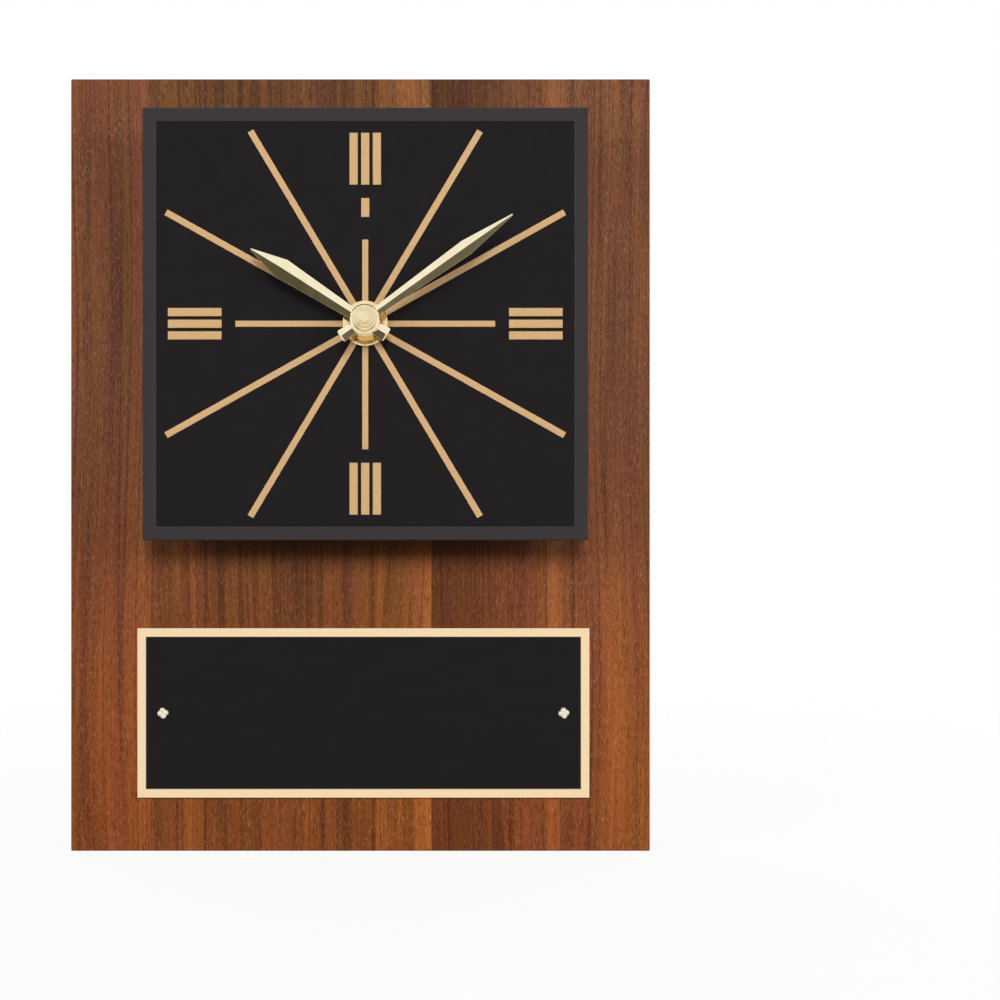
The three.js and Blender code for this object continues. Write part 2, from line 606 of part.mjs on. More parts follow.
function hubHardware() {
  const bore = BUSHING_RADIUS + PRESS_GAP;
  const gasketBore = BUSHING_RADIUS + LOOSE_GAP;
  const gasket = turned([
    [gasketBore, gasketBack],
    [GASKET_RADIUS, gasketBack],
    [GASKET_RADIUS, gasketBack + GASKET_THICKNESS],
    [gasketBore, gasketBack + GASKET_THICKNESS],
  ]);
  const washer = turned([
    [gasketBore, washerSeat],
    [WASHER_RADIUS, washerSeat],
    [WASHER_RADIUS, washerSeat + WASHER_EDGE],
    [NUT_RADIUS + LOOSE_GAP, washerSeat + WASHER_HEIGHT],
    [gasketBore, washerSeat + WASHER_HEIGHT],
  ]);
  const nutTop = nutSeat + NUT_HEIGHT;
  const nut = turned([
    [bore, nutSeat],
    [NUT_RADIUS, nutSeat],
    [NUT_RADIUS, nutTop - NUT_HEIGHT * NUT_CHAMFER],
    [NUT_RADIUS - NUT_HEIGHT * NUT_CHAMFER, nutTop],
    [bore, nutTop],
  ]);
  const tubeBore = HOUR_TUBE_RADIUS + RUNNING_GAP;
  const bushing = turned([
    [tubeBore, movementFace - TRAY_WALL],
    [BUSHING_RADIUS, movementFace - TRAY_WALL],
    [BUSHING_RADIUS, flangeBack],
    [FLANGE_RADIUS, flangeBack],
    [FLANGE_RADIUS, flangeBack + FLANGE_THICKNESS],
    [BUSHING_RADIUS, flangeBack + FLANGE_THICKNESS],
    [BUSHING_RADIUS, nutTop - SEAT_GAP],
    [tubeBore, nutTop - SEAT_GAP],
  ]);
  return [
    piece('gasket', gasket, 'rubber'),
    piece('dial_washer', washer, 'gold'),
    piece('fixing_nut', nut, 'gold'),
    piece('threaded_bushing', bushing, 'brass'),
  ];
}

// A ridged blade lofted through [distance, width] stations along +y
function blade(stations, seat) {
  const rings = stations.map(([along, width]) => {
    const half = width / 2;
    const ridge = HAND_EDGE + HAND_SLOPE * half;
    return [[-half, 0], [half, 0], [half, HAND_EDGE], [0, ridge], [-half, HAND_EDGE]]
      .map(([x, z]) => [x, along, seat + z]);
  });
  const sides = rings[0].length;
  const index = [];
  for (let ring = 0; ring + 1 < rings.length; ring += 1) {
    for (let side = 0; side < sides; side += 1) {
      const here = ring * sides + side;
      const next = ring * sides + ((side + 1) % sides);
      index.push(here, here + sides, next, next, here + sides, next + sides);
    }
  }
  const last = (rings.length - 1) * sides;
  for (let side = 1; side + 1 < sides; side += 1) {
    index.push(0, side, side + 1, last, last + side + 1, last + side);
  }
  const geometry = new THREE.BufferGeometry();
  geometry.setAttribute('position', new THREE.Float32BufferAttribute(rings.flat(2), 3));
  geometry.setIndex(index);
  return solid(geometry);
}

function hand(name, degrees, { stations, seat, bossRadius, bore }) {
  const lip = bossRadius * BOSS_LIP;
  const top = seat + BOSS_HEIGHT;
  const boss = turned([
    [0, seat],
    [bossRadius - lip, seat],
    [bossRadius, seat + lip],
    [bossRadius, top - lip],
    [bossRadius - lip, top],
    [0, top],
  ]);
  const hole = rod(bore, seat - CUT_PAST, top + CUT_PAST);
  const node = piece(name, cut(join(boss, blade(stations, seat + BLADE_SEAT)), hole), 'gold');
  node.rotation.z = -THREE.MathUtils.degToRad(degrees);
  return node;
}

function hands() {
  const hour = hand('hour_hand', HOUR_ANGLE, {
    seat: hourBossSeat,
    bossRadius: HOUR_BOSS_RADIUS,
    bore: HOUR_TUBE_RADIUS + PRESS_GAP,
    stations: [
      [-HOUR_TAIL, HOUR_TAIL_WIDTH],
      [-HOUR_BOSS_RADIUS * NECK_START, HOUR_NECK],
      [HOUR_BOSS_RADIUS, HOUR_NECK],
      [HOUR_WIDEST, HOUR_WIDTH],
      [HOUR_LENGTH, HAND_TIP],
    ],
  });
  const minute = hand('minute_hand', MINUTE_ANGLE, {
    seat: minuteBossSeat,
    bossRadius: MINUTE_BOSS_RADIUS,
    bore: MINUTE_ARBOR_RADIUS + PRESS_GAP,
    stations: [
      [-MINUTE_TAIL, MINUTE_TAIL_WIDTH],
      [-MINUTE_BOSS_RADIUS * NECK_START, MINUTE_NECK],
      [MINUTE_BOSS_RADIUS, MINUTE_NECK],
      [MINUTE_WIDEST, MINUTE_WIDTH],
      [MINUTE_LENGTH, HAND_TIP],
    ],
  });
  const [low, middle, high] = CAP_RADII;
  const cap = cut(turned([
    [0, capSeat],
    [low, capSeat],
    [low, capSeat + CAP_STEP * CAP_SHOULDER],
    [(low + middle) / 2, capSeat + CAP_STEP],
    [middle, capSeat + CAP_STEP],
    [middle, capSeat + CAP_STEP * (1 + CAP_SHOULDER)],
    [high, capSeat + CAP_STEP * 2],
    [high, capSeat + CAP_STEP * (2 + CAP_BUTTON)],
    [high * CAP_CROWN, capSeat + CAP_STEP * 3],
    [0, capSeat + CAP_STEP * (3 + CAP_DOME)],
  ]), rod(MINUTE_ARBOR_RADIUS + PRESS_GAP, capSeat - CUT_PAST, capSeat + 2 * CAP_STEP));
  return [hour, minute, piece('hand_cap_nut', cap, 'gold')];
}

// Movement: built about the hand axis with z = 0 on its front face, so depths run to minus z

function frontCase() {
  const openBack = -trayDepth - CUT_PAST;
  const cavity = (bottom, top) => box(-roomHalfWidth, roomHalfWidth, bottom, top, openBack, -TRAY_WALL);
  const pillarIn = PILLAR_RADIUS + LOOSE_GAP;
  const pillarTop = -plateDepth + SEAT_GAP;
  const pillarX = roomHalfWidth - pillarIn;
  const pillarY = [partitionTop + pillarIn, roomHalfHeight - pillarIn];
  const pillars = [-pillarX, pillarX].flatMap((x) => pillarY.map((y) => rod(
    PILLAR_RADIUS, pillarTop, -TRAY_WALL / 2, { x, y }, SMALL_ROUND,
  )));
  const slots = [-contactX, contactX].map((x) => {
    const half = CONTACT_THICKNESS / 2 + LOOSE_GAP;
    const front = -contactFront + LOOSE_GAP;
    return box(x - half, x + half, partitionBottom - LOOSE_GAP, partitionTop + LOOSE_GAP, openBack, front);
  });
  const tray = cut(
    extrude(rectangle(2 * trayHalfWidth, 2 * trayHalfHeight, TRAY_WALL), -trayDepth, 0, CORNER_ROUND),
    cavity(partitionTop, roomHalfHeight),
    cavity(-roomHalfHeight, partitionBottom),
    ...slots,
  );
  const post = rod(MOTION_POST_RADIUS, pillarTop, -TRAY_WALL / 2, motionAxis, SMALL_ROUND);
  const settingHole = rod(
    SETTING_PIVOT_RADIUS + RUNNING_GAP, -TRAY_WALL - CUT_PAST, -TRAY_WALL / 3, settingAxis, SMALL_ROUND,
  );
  const bushingHole = rod(BUSHING_RADIUS + PRESS_GAP, -TRAY_WALL - CUT_PAST, CUT_PAST);
  const body = cut(join(tray, post, ...pillars), settingHole, bushingHole);
  return piece('movement_front_case', body, 'movementBlack');
}

function trainBores(from, to) {
  const radius = TRAIN_ARBOR_RADIUS + RUNNING_GAP;
  const axes = [thirdAxis, fourthAxis, intermediateAxis, rotorAxis];
  return axes.map((at) => rod(radius, from, to, at, SMALL_ROUND));
}

function middlePlate() {
  const back = -plateDepth - MIDDLE_PLATE;
  const edge = roomHalfWidth - LOOSE_GAP;
  const sheet = box(-edge, edge, partitionTop + LOOSE_GAP, roomHalfHeight - LOOSE_GAP, back, -plateDepth);
  const armMiddle = (STATOR_ARM + LOOSE_GAP) / 2;
  const statorPosts = [statorBottom + armMiddle, statorTop - armMiddle].map((y) => rod(
    CIRCUIT_POST_RADIUS, -statorDepth + SEAT_GAP, -plateDepth, { x: coilAxisX, y }, SMALL_ROUND,
  ));
  const postIn = CIRCUIT_POST_RADIUS + LOOSE_GAP;
  const postX = circuitLeft + CIRCUIT_WIDTH / 2;
  const circuitPosts = [circuitBottom + postIn, circuitBottom + CIRCUIT_HEIGHT - postIn].map((y) => rod(
    CIRCUIT_POST_RADIUS, -circuitDepth + SEAT_GAP, -plateDepth, { x: postX, y }, SMALL_ROUND,
  ));
  const body = cut(
    join(sheet, ...statorPosts, ...circuitPosts),
    ...trainBores(back - CUT_PAST, -plateDepth + CUT_PAST),
    rod(MINUTE_ARBOR_RADIUS + RUNNING_GAP, back - CUT_PAST, -plateDepth + CUT_PAST),
    rod(SETTING_ARBOR_RADIUS + RUNNING_GAP, back - CUT_PAST, -plateDepth + CUT_PAST, settingAxis),
  );
  return piece('middle_plate', body, 'whitePlastic');
}

function rearCover() {
  const sheet = box(-trayHalfWidth, trayHalfWidth, partitionBottom, trayHalfHeight, -coverBack, -coverFront);
  const body = cut(
    sheet,
    ...trainBores(-coverFront - PIVOT_DEPTH, -coverFront + CUT_PAST),
    rod(SETTING_ARBOR_RADIUS + RUNNING_GAP, -coverBack - CUT_PAST, -coverFront + CUT_PAST, settingAxis),
  );
  return piece('movement_rear_cover', body, 'movementBlack');
}

function wheel(gearSize, phase, depth) {
  return extrude(gearShape(gearSize, phase), -depth - WHEEL_THICKNESS, -depth);
}

// A wheel of the going train with its pinion in front of it, on an arbor from plate to cover
function trainWheel(name, at, { wheelSize, wheelDepth, pinionPhase }) {
  const reach = LAYER_GAP / 2;
  const pinionFront = wheelDepth - LAYER_GAP - WHEEL_THICKNESS - reach;
  const pinionBack = wheelDepth + WHEEL_THICKNESS / 2;
  const pinion = extrude(gearShape(trainPinion, pinionPhase), -pinionBack, -pinionFront);
  const arbor = rod(TRAIN_ARBOR_RADIUS, -arborBack, -arborFront, handAxis, SMALL_ROUND);
  const node = piece(name, join(wheel(wheelSize, 0, wheelDepth), pinion, arbor), 'whitePlastic');
  node.position.set(at.x, at.y, 0);
  return node;
}

function goingTrain() {
  const centre = piece('centre_wheel', cut(
    wheel(centreWheel, 0, centreDepth),
    rod(MINUTE_ARBOR_RADIUS + PRESS_GAP, -thirdDepth, -plateDepth),
  ), 'brass');
  const reach = LAYER_GAP / 2;
  const rotorBody = join(
    rod(TRAIN_ARBOR_RADIUS, -arborBack, -arborFront, handAxis, SMALL_ROUND),
    extrude(
      gearShape(rotorPinion, rotorPinionPhase),
      -intermediateDepth - WHEEL_THICKNESS - reach, -intermediateDepth + reach,
    ),
  );
  const rotor = piece('rotor_pinion', rotorBody, 'whitePlastic');
  const magnet = piece('rotor_magnet', cut(
    rod(MAGNET_RADIUS, -magnetDepth - MAGNET_LENGTH, -magnetDepth),
    rod(TRAIN_ARBOR_RADIUS + PRESS_GAP, -coverFront, 0, handAxis, SMALL_ROUND),
  ), 'steel');
  for (const node of [rotor, magnet]) node.position.set(rotorAxis.x, rotorAxis.y, 0);
  return [
    centre,
    trainWheel('third_wheel', thirdAxis, {
      wheelSize: thirdWheel, wheelDepth: thirdDepth, pinionPhase: thirdPinionPhase,
    }),
    trainWheel('fourth_wheel', fourthAxis, {
      wheelSize: fourthWheel, wheelDepth: fourthDepth, pinionPhase: fourthPinionPhase,
    }),
    trainWheel('intermediate_wheel', intermediateAxis, {
      wheelSize: intermediateWheel, wheelDepth: intermediateDepth, pinionPhase: intermediatePinionPhase,
    }),
    rotor,
    magnet,
  ];
}

function motionWork() {
  const reach = LAYER_GAP / 4;
  const pinionSpan = [-motionDepth - WHEEL_THICKNESS - reach, -motionDepth + reach];
  const arborEnd = capSeat + CAP_STEP * 1.5 - movementFace;
  const minute = piece('minute_arbor', join(
    rod(MINUTE_ARBOR_RADIUS, -centreDepth - WHEEL_THICKNESS, arborEnd),
    extrude(gearShape(cannonPinion, 0), ...pinionSpan),
  ), 'brass');
  const tubeEnd = hourBossSeat + BOSS_HEIGHT - SEAT_GAP - movementFace;
  const tube = rod(HOUR_TUBE_RADIUS, -hourDepth - WHEEL_THICKNESS, tubeEnd);
  const hour = piece('hour_wheel', cut(
    join(wheel(hourWheel, hourWheelPhase, hourDepth), tube),
    rod(MINUTE_ARBOR_RADIUS + RUNNING_GAP, -plateDepth, tubeEnd + CUT_PAST),
  ), 'whitePlastic');
  const motion = piece('motion_wheel', cut(
    join(
      wheel(motionWheel, motionWheelPhase, motionDepth),
      extrude(gearShape(motionPinion, 0), -motionDepth - WHEEL_THICKNESS / 2, -hourDepth + reach),
    ),
    rod(MOTION_POST_RADIUS + RUNNING_GAP, -plateDepth, 0, handAxis, SMALL_ROUND),
  ), 'whitePlastic');
  motion.position.set(motionAxis.x, motionAxis.y, 0);
  return [minute, hour, motion, settingKnob(pinionSpan)];
}

function settingKnob(pinionSpan) {
  const shoulder = TRAY_WALL + SEAT_GAP;
  const knobFront = coverBack + LOOSE_GAP;
  const outline = new THREE.Shape();
  const corners = 2 * Math.round(KNOB_FLUTES);
  for (let i = 0; i < corners; i += 1) {
    const angle = (i * 2 * Math.PI) / corners;
    const radius = i % 2 ? KNOB_RADIUS : KNOB_RADIUS - KNOB_FLUTE_DEPTH;
    const corner = [radius * Math.cos(angle), radius * Math.sin(angle)];
    if (i === 0) outline.moveTo(...corner);
    else outline.lineTo(...corner);
  }
  const body = join(
    rod(SETTING_PIVOT_RADIUS, -shoulder - TRAY_WALL / 2, -TRAY_WALL / 3 - SEAT_GAP, handAxis, SMALL_ROUND),
    rod(SETTING_ARBOR_RADIUS, -knobFront - KNOB_HEIGHT / 2, -shoulder),
    extrude(gearShape(settingPinion, settingPinionPhase), ...pinionSpan),
    extrude(outline, -knobFront - KNOB_HEIGHT, -knobFront),
  );
  const node = piece('setting_knob', body, 'whitePlastic');
  node.position.set(settingAxis.x, settingAxis.y, 0);
  return node;
}

function steppingMotor() {
  const [front, back] = [-statorDepth, -statorDepth - STATOR_THICKNESS];
  const right = coilAxisX + CORE_WIDTH / 2;
  const stator = cut(
    box(statorLeft, right, statorBottom, statorTop, back, front),
    box(
      statorInner, right + CUT_PAST, coilBottom - LOOSE_GAP, coilTop + LOOSE_GAP,
      back - CUT_PAST, front + CUT_PAST,
    ),
    rod(statorHole, back - CUT_PAST, front + CUT_PAST, rotorAxis),
  );
  const [coreFront, coreBack] = [-coreDepth, -coreDepth - STATOR_THICKNESS];
  const half = CORE_WIDTH / 2;
  const core = box(coilAxisX - half, right, statorBottom, statorTop, coreBack, coreFront);
  const alongY = (radius, from, to) => rod(radius, from, to)
    .rotate([-90, 0, 0])
    .translate(coilAxisX, 0, -coilDepth);
  const boreHalf = half + SEAT_GAP;
  const barrel = Math.hypot(boreHalf, STATOR_THICKNESS / 2 + SEAT_GAP) + BOBBIN_WALL;
  const bore = box(
    coilAxisX - boreHalf, coilAxisX + boreHalf, coilBottom - CUT_PAST, coilTop + CUT_PAST,
    coreBack - SEAT_GAP, coreFront + SEAT_GAP,
  );
  const bobbin = cut(join(
    alongY(barrel, coilBottom, coilTop),
    alongY(COIL_FLANGE_RADIUS, coilBottom, coilBottom + COIL_FLANGE),
    alongY(COIL_FLANGE_RADIUS, coilTop - COIL_FLANGE, coilTop),
  ), bore);
  const winding = cut(
    alongY(COIL_RADIUS, coilBottom + COIL_FLANGE + SEAT_GAP, coilTop - COIL_FLANGE - SEAT_GAP),
    alongY(barrel + PRESS_GAP, coilBottom - CUT_PAST, coilTop + CUT_PAST),
  );
  return [
    piece('stator', stator, 'steel'),
    piece('coil_core', core, 'steel'),
    piece('coil_bobbin', bobbin, 'amberPlastic'),
    piece('coil_winding', winding, 'copper'),
  ];
}

function circuit() {
  const right = circuitLeft + CIRCUIT_WIDTH;
  const middle = { x: circuitLeft + CIRCUIT_WIDTH / 2, y: circuitBottom + CIRCUIT_HEIGHT / 2 };
  const seat = -circuitBack - SEAT_GAP;
  const top = circuitBottom + CIRCUIT_HEIGHT;
  const sheet = box(circuitLeft, right, circuitBottom, top, -circuitBack, -circuitDepth);
  const half = CHIP_SIZE / 2;
  const chip = box(
    middle.x - half, middle.x + half, middle.y - half, middle.y + half,
    seat - CHIP_HEIGHT, seat,
  );
  const crystal = rod(CRYSTAL_RADIUS, 0, CRYSTAL_LENGTH, handAxis, SMALL_ROUND)
    .rotate([-90, 0, 0])
    .translate(middle.x, middle.y + half + LOOSE_GAP, seat - CRYSTAL_RADIUS);
  return [
    piece('circuit_board', sheet, 'circuit'),
    piece('timer_chip', chip, 'movementBlack'),
    piece('quartz_crystal', crystal, 'steel'),
  ];
}

// A strip bent in the plane of the dial, from a list of corners along its middle
function strip(corners) {
  const half = CONTACT_THICKNESS / 2;
  const legs = corners.slice(1).map(([x, y], i) => {
    const [x0, y0] = corners[i];
    return box(
      Math.min(x, x0) - half, Math.max(x, x0) + half, Math.min(y, y0) - half, Math.max(y, y0) + half,
      -contactFront - CONTACT_WIDTH, -contactFront,
    );
  });
  return join(...legs);
}

function power() {
  const end = CELL_LENGTH - cellHalfLength;
  const round = CELL_RADIUS * CELL_ROUND;
  const cell = turned([
    [0, -cellHalfLength],
    [CELL_RADIUS - round, -cellHalfLength],
    [CELL_RADIUS, -cellHalfLength + round],
    [CELL_RADIUS, end - round],
    [CELL_RADIUS - round, end],
    [CELL_NUB_RADIUS, end],
    [CELL_NUB_RADIUS, cellHalfLength],
    [0, cellHalfLength],
  ]).rotate([0, 90, 0]).translate(0, cellAxisY, -TRAY_WALL - LOOSE_GAP - CELL_RADIUS);
  const low = partitionBottom - CONTACT_DROP;
  const circuitRight = circuitLeft + CIRCUIT_WIDTH;
  const circuitMiddle = circuitLeft + CIRCUIT_WIDTH / 2;
  const positive = strip([[contactX, low], [contactX, tongueY], [circuitRight, tongueY]]);
  const negative = strip([[-contactX, low], [-contactX, tongueY], [circuitMiddle, tongueY]]);
  return [
    piece('aa_cell', cell, 'cell'),
    piece('positive_contact', positive, 'steel'),
    piece('negative_contact', negative, 'steel'),
  ];
}

// Assembly

const movement = new THREE.Group();
movement.position.z = movementFace;
movement.add(
  frontCase(), middlePlate(), rearCover(),
  ...goingTrain(), ...motionWork(), ...steppingMotor(), ...circuit(), ...power(),
);

const clock = new THREE.Group();
clock.position.set(CLOCK_SHIFT, CLOCK_RISE, 0);
clock.add(clockCase(), dial(), ...hubHardware(), ...hands(), movement);
screwPlaces.forEach((at, i) => clock.add(caseScrew(`case_screw_${i + 1}`, at)));

const plate = new THREE.Group();
plate.position.set(PLATE_SHIFT, -PLATE_DROP, 0);
plate.add(nameplate(), pin('plate_pin_left', -pinX), pin('plate_pin_right', pinX));

const plaque = new THREE.Group();
plaque.rotation.x = Math.PI / 2;
plaque.add(board(), clock, plate);

const clockPlaque = new THREE.Group();
clockPlaque.name = 'clock_plaque';
clockPlaque.add(plaque);

export default clockPlaque;
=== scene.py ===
"""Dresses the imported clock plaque: walnut board, clock head, hands, nameplate and quartz movement."""

import logging
import math
from contextlib import contextmanager
from dataclasses import dataclass
from enum import Enum
from typing import Callable, Iterator, Sequence

import bmesh
import bpy
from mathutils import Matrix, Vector


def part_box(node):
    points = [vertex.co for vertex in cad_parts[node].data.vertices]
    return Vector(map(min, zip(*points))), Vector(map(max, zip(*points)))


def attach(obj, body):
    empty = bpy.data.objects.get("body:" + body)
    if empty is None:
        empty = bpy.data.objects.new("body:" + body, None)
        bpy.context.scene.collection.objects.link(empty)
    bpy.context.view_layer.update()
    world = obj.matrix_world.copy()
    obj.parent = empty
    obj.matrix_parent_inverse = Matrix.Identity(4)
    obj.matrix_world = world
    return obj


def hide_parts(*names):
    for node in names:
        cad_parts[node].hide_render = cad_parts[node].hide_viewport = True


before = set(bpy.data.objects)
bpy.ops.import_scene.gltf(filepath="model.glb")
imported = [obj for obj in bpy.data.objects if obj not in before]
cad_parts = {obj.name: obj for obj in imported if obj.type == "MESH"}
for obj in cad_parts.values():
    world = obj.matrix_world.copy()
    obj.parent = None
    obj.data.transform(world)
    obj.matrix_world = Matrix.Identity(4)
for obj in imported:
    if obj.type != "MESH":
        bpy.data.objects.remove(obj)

Object = bpy.types.Object
Material = bpy.types.Material
Node = bpy.types.Node
Socket = bpy.types.NodeSocket
Span = tuple[float, float]
Triple = tuple[float, float, float]
Profile = Sequence[Span]
Tint = Socket | tuple[float, ...]
Links = dict[str | int, object]
Test = Callable[[Sequence[Vector]], bool]

MM = 0.001
NEAR = 0.002  # mm, for finding corners by their place
WELD = 1e-6  # m, corners closer than this are one
FLAT = 0.5  # degrees, faces that meet closer to level than this are one
PAST = 1.0  # mm, how far a cutter runs past what it cuts
SCREW_OFFSET = 52.0  # mm, from the hand axis to a case screw, across and up
TACK_OFFSET = 78.9  # mm, from the nameplate's middle to a tack
SPIN_AXIS = (0.0, 1.0, 0.0)
COLOUR_A, COLOUR_B, COLOUR_OUT = 6, 7, 2  # sockets of a Mix node for colours
VECTOR_A, VECTOR_B, VECTOR_OUT = 4, 5, 1  # sockets of a Mix node for vectors
WHITE = "ffffff"

log = logging.getLogger("clock_plaque")


def spot(x: float, depth: float, z: float) -> Vector:
    """Turns millimetres to the right, out of the wall and up into the frame's metres."""
    return Vector((x, -depth, z)) * MM


def linear(tone: str) -> tuple[float, float, float, float]:
    """Turns six hex digits of sRGB into a linear colour with an alpha of 1."""
    channels = [int(tone[i:i + 2], 16) / 255 for i in (0, 2, 4)]
    return (*[c / 12.92 if c <= 0.04045 else ((c + 0.055) / 1.055) ** 2.4 for c in channels], 1.0)


def toward(azimuth: float, elevation: float) -> Vector:
    """Gives the unit vector to an azimuth right of straight ahead and an elevation, in degrees."""
    side, up = math.radians(azimuth), math.radians(elevation)
    return Vector((math.sin(side) * math.cos(up), -math.cos(side) * math.cos(up), math.sin(up)))


def middle_of(node: str) -> Span:
    """Finds the middle of a CAD node from the front, in millimetres to the right and up."""
    low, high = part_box(node)
    return tuple(((low + high) / 2 / MM).xz)


def at_depth(corners: Sequence[Vector], depth: float) -> bool:
    """Says whether all corners lie at a depth, both in millimetres."""
    return all(abs(corner.y + depth) < NEAR for corner in corners)


HAND_AXIS = middle_of("dial_plate")
PLATE_MIDDLE = middle_of("nameplate")


class Element(Enum):
    """What a selection picks."""

    VERTS = "verts"
    EDGES = "edges"
    FACES = "faces"


class Ease(Enum):
    """How a value runs from one end to the other."""

    EVEN = "LINEAR"
    SOFT = "SMOOTHSTEP"


class Merge(Enum):
    """What a piece does with another."""

    JOIN = "UNION"
    CUT = "DIFFERENCE"


class Bench:
    """Modelling by operators, on one piece at a time."""

    @staticmethod
    def clear() -> None:
        """Leaves nothing selected, in object mode."""
        if bpy.context.mode != "OBJECT":
            bpy.ops.object.mode_set(mode="OBJECT")
        bpy.ops.object.select_all(action="DESELECT")

    @classmethod
    def take(cls, piece: Object) -> None:
        """Makes a piece the only selected one, and the active one.

        Args:
            piece: The piece.
        """
        cls.clear()
        piece.select_set(True)
        bpy.context.view_layer.objects.active = piece

    @staticmethod
    def settle() -> None:
        """Puts the selected piece's place, turn and size into its mesh."""
        bpy.ops.object.transform_apply(location=True, rotation=True, scale=True)

    @classmethod
    @contextmanager
    def edit(cls, piece: Object) -> Iterator[None]:
        """Opens a piece in edit mode with nothing selected, and closes it again.

        Args:
            piece: The piece to work on.
        """
        cls.take(piece)
        bpy.ops.object.mode_set(mode="EDIT")
        bpy.ops.mesh.select_all(action="DESELECT")
        yield
        bpy.ops.object.mode_set(mode="OBJECT")

    @staticmethod
    def pick(element: Element, test: Test) -> None:
        """Selects corners, edges or faces of the piece in edit mode by their place.

        Args:
            element: What to pick.
            test: Says whether an element is picked, from its corners in millimetres.
        """
        bpy.ops.mesh.select_mode(type=element.name.removesuffix("S"))
        bpy.ops.mesh.select_all(action="DESELECT")
        mesh = bmesh.from_edit_mesh(bpy.context.object.data)
        for item in getattr(mesh, element.value):
            corners = [item] if element is Element.VERTS else item.verts
            if test([corner.co / MM for corner in corners]):
                item.select_set(True)
        mesh.select_flush_mode()
        bmesh.update_edit_mesh(bpy.context.object.data)

    @classmethod
    def block(cls, name: str, x: Span, depth: Span, z: Span) -> Object:
        """Adds a cube at its size and place.

        Args:
            name: The piece's name.
            x: Left and right ends in millimetres.
            depth: Back and front in millimetres out of the wall.
            z: Lower and upper ends in millimetres.

        Returns:
            The new piece, at the origin.
        """
        cls.clear()
        low = spot(x[0], depth[1], z[0])
        high = spot(x[1], depth[0], z[1])
        bpy.ops.mesh.primitive_cube_add(size=1, location=(low + high) / 2, scale=high - low)
        piece = bpy.context.object
        piece.name = name
        cls.settle()
        return piece

    @classmethod
    def slab(cls, name: str, at: Span, half: Span, depth: Span) -> Object:
        """Adds a block by its middle and half its width and height."""
        (x, z), (half_x, half_z) = at, half
        return cls.block(name, (x - half_x, x + half_x), depth, (z - half_z, z + half_z))

    @classmethod
    def turned(cls, name: str, profile: Profile, at: Span = (0.0, 0.0), steps: int = 72) -> Object:
        """Spins a profile about an axis that runs out of the wall.

        Args:
            name: The piece's name.
            profile: Radius and depth of each corner, in millimetres.
            at: The axis, to the right and up.
            steps: Segments of the full turn.

        Returns:
            The new closed piece.
        """
        cls.clear()
        corners = [spot(at[0] + radius, depth, at[1]) for radius, depth in profile]
        bpy.ops.mesh.primitive_plane_add(size=MM, location=corners[0])
        piece = bpy.context.object
        piece.name = name
        cls.settle()
        bpy.ops.object.mode_set(mode="EDIT")
        bpy.ops.mesh.select_mode(type="VERT")
        bpy.ops.mesh.select_all(action="SELECT")
        bpy.ops.mesh.merge(type="CENTER")
        for here, there in zip(corners, corners[1:]):
            bpy.ops.mesh.extrude_vertices_move(TRANSFORM_OT_translate={"value": there - here})
        bpy.ops.mesh.select_all(action="SELECT")
        bpy.ops.mesh.spin(steps=steps, angle=math.tau, center=spot(at[0], 0, at[1]), axis=SPIN_AXIS)
        bpy.ops.mesh.select_all(action="SELECT")
        bpy.ops.mesh.remove_doubles(threshold=WELD)
        bpy.ops.mesh.normals_make_consistent(inside=False)
        bpy.ops.object.mode_set(mode="OBJECT")
        return piece

    @classmethod
    def rod(cls, name: str, radius: float, depth: Span, at: Span = (0.0, 0.0)) -> Object:
        """Adds a plain round cutter, which is never a finished piece."""
        ends = [(0, depth[0]), (radius, depth[0]), (radius, depth[1]), (0, depth[1])]
        return cls.turned(name, ends, at)

    @staticmethod
    def copy(name: str, source: Object) -> Object:
        """Copies a piece with a mesh of its own.

        Args:
            name: The copy's name.
            source: The piece to copy.

        Returns:
            The copy.
        """
        piece = bpy.data.objects.new(name, source.data.copy())
        bpy.context.scene.collection.objects.link(piece)
        return piece

    @classmethod
    def from_node(cls, name: str, node: str) -> Object:
        """Copies a CAD node, merges its loose triangles and clears the lines on its flat faces.

        Args:
            name: The new piece's name.
            node: The CAD node.

        Returns:
            The copy.
        """
        piece = cls.copy(name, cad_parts[node])
        with cls.edit(piece):
            bpy.ops.mesh.select_all(action="SELECT")
            bpy.ops.mesh.remove_doubles(threshold=WELD)
            bpy.ops.mesh.dissolve_limited(angle_limit=math.radians(FLAT))
        piece.data.materials.clear()
        return piece

    @staticmethod
    def slice(at: Vector, normal: Triple) -> None:
        """Cuts new edges through the whole piece in edit mode, along a plane."""
        bpy.ops.mesh.select_all(action="SELECT")
        bpy.ops.mesh.bisect(plane_co=at, plane_no=normal)

    @classmethod
    def finish_with(cls, piece: Object, kind: str, **settings: object) -> None:
        """Adds a modifier and applies it.

        Args:
            piece: The piece to change.
            kind: The modifier's type.
            **settings: Its properties.
        """
        cls.take(piece)
        modifier = piece.modifiers.new(kind.lower(), kind)
        for key, value in settings.items():
            setattr(modifier, key, value)
        bpy.ops.object.modifier_apply(modifier=modifier.name)

    @classmethod
    def combine(cls, piece: Object, merge: Merge, *tools: Object) -> None:
        """Joins other pieces to this one, or cuts them from it, and removes them.

        Args:
            piece: The piece that stays.
            merge: What is done with the others.
            *tools: The other pieces.
        """
        for tool in tools:
            cls.finish_with(piece, "BOOLEAN", operation=merge.value, solver="EXACT", object=tool)
            bpy.data.objects.remove(tool)

    @classmethod
    def turn(cls, piece: Object, degrees: float, at: Span) -> None:
        """Turns a piece made about the origin, and carries it to its axis.

        Args:
            piece: The piece.
            degrees: How far it turns, clockwise.
            at: The axis, to the right and up.
        """
        cls.take(piece)
        piece.rotation_euler.y = math.radians(degrees)
        piece.location = spot(at[0], 0, at[1])
        cls.settle()

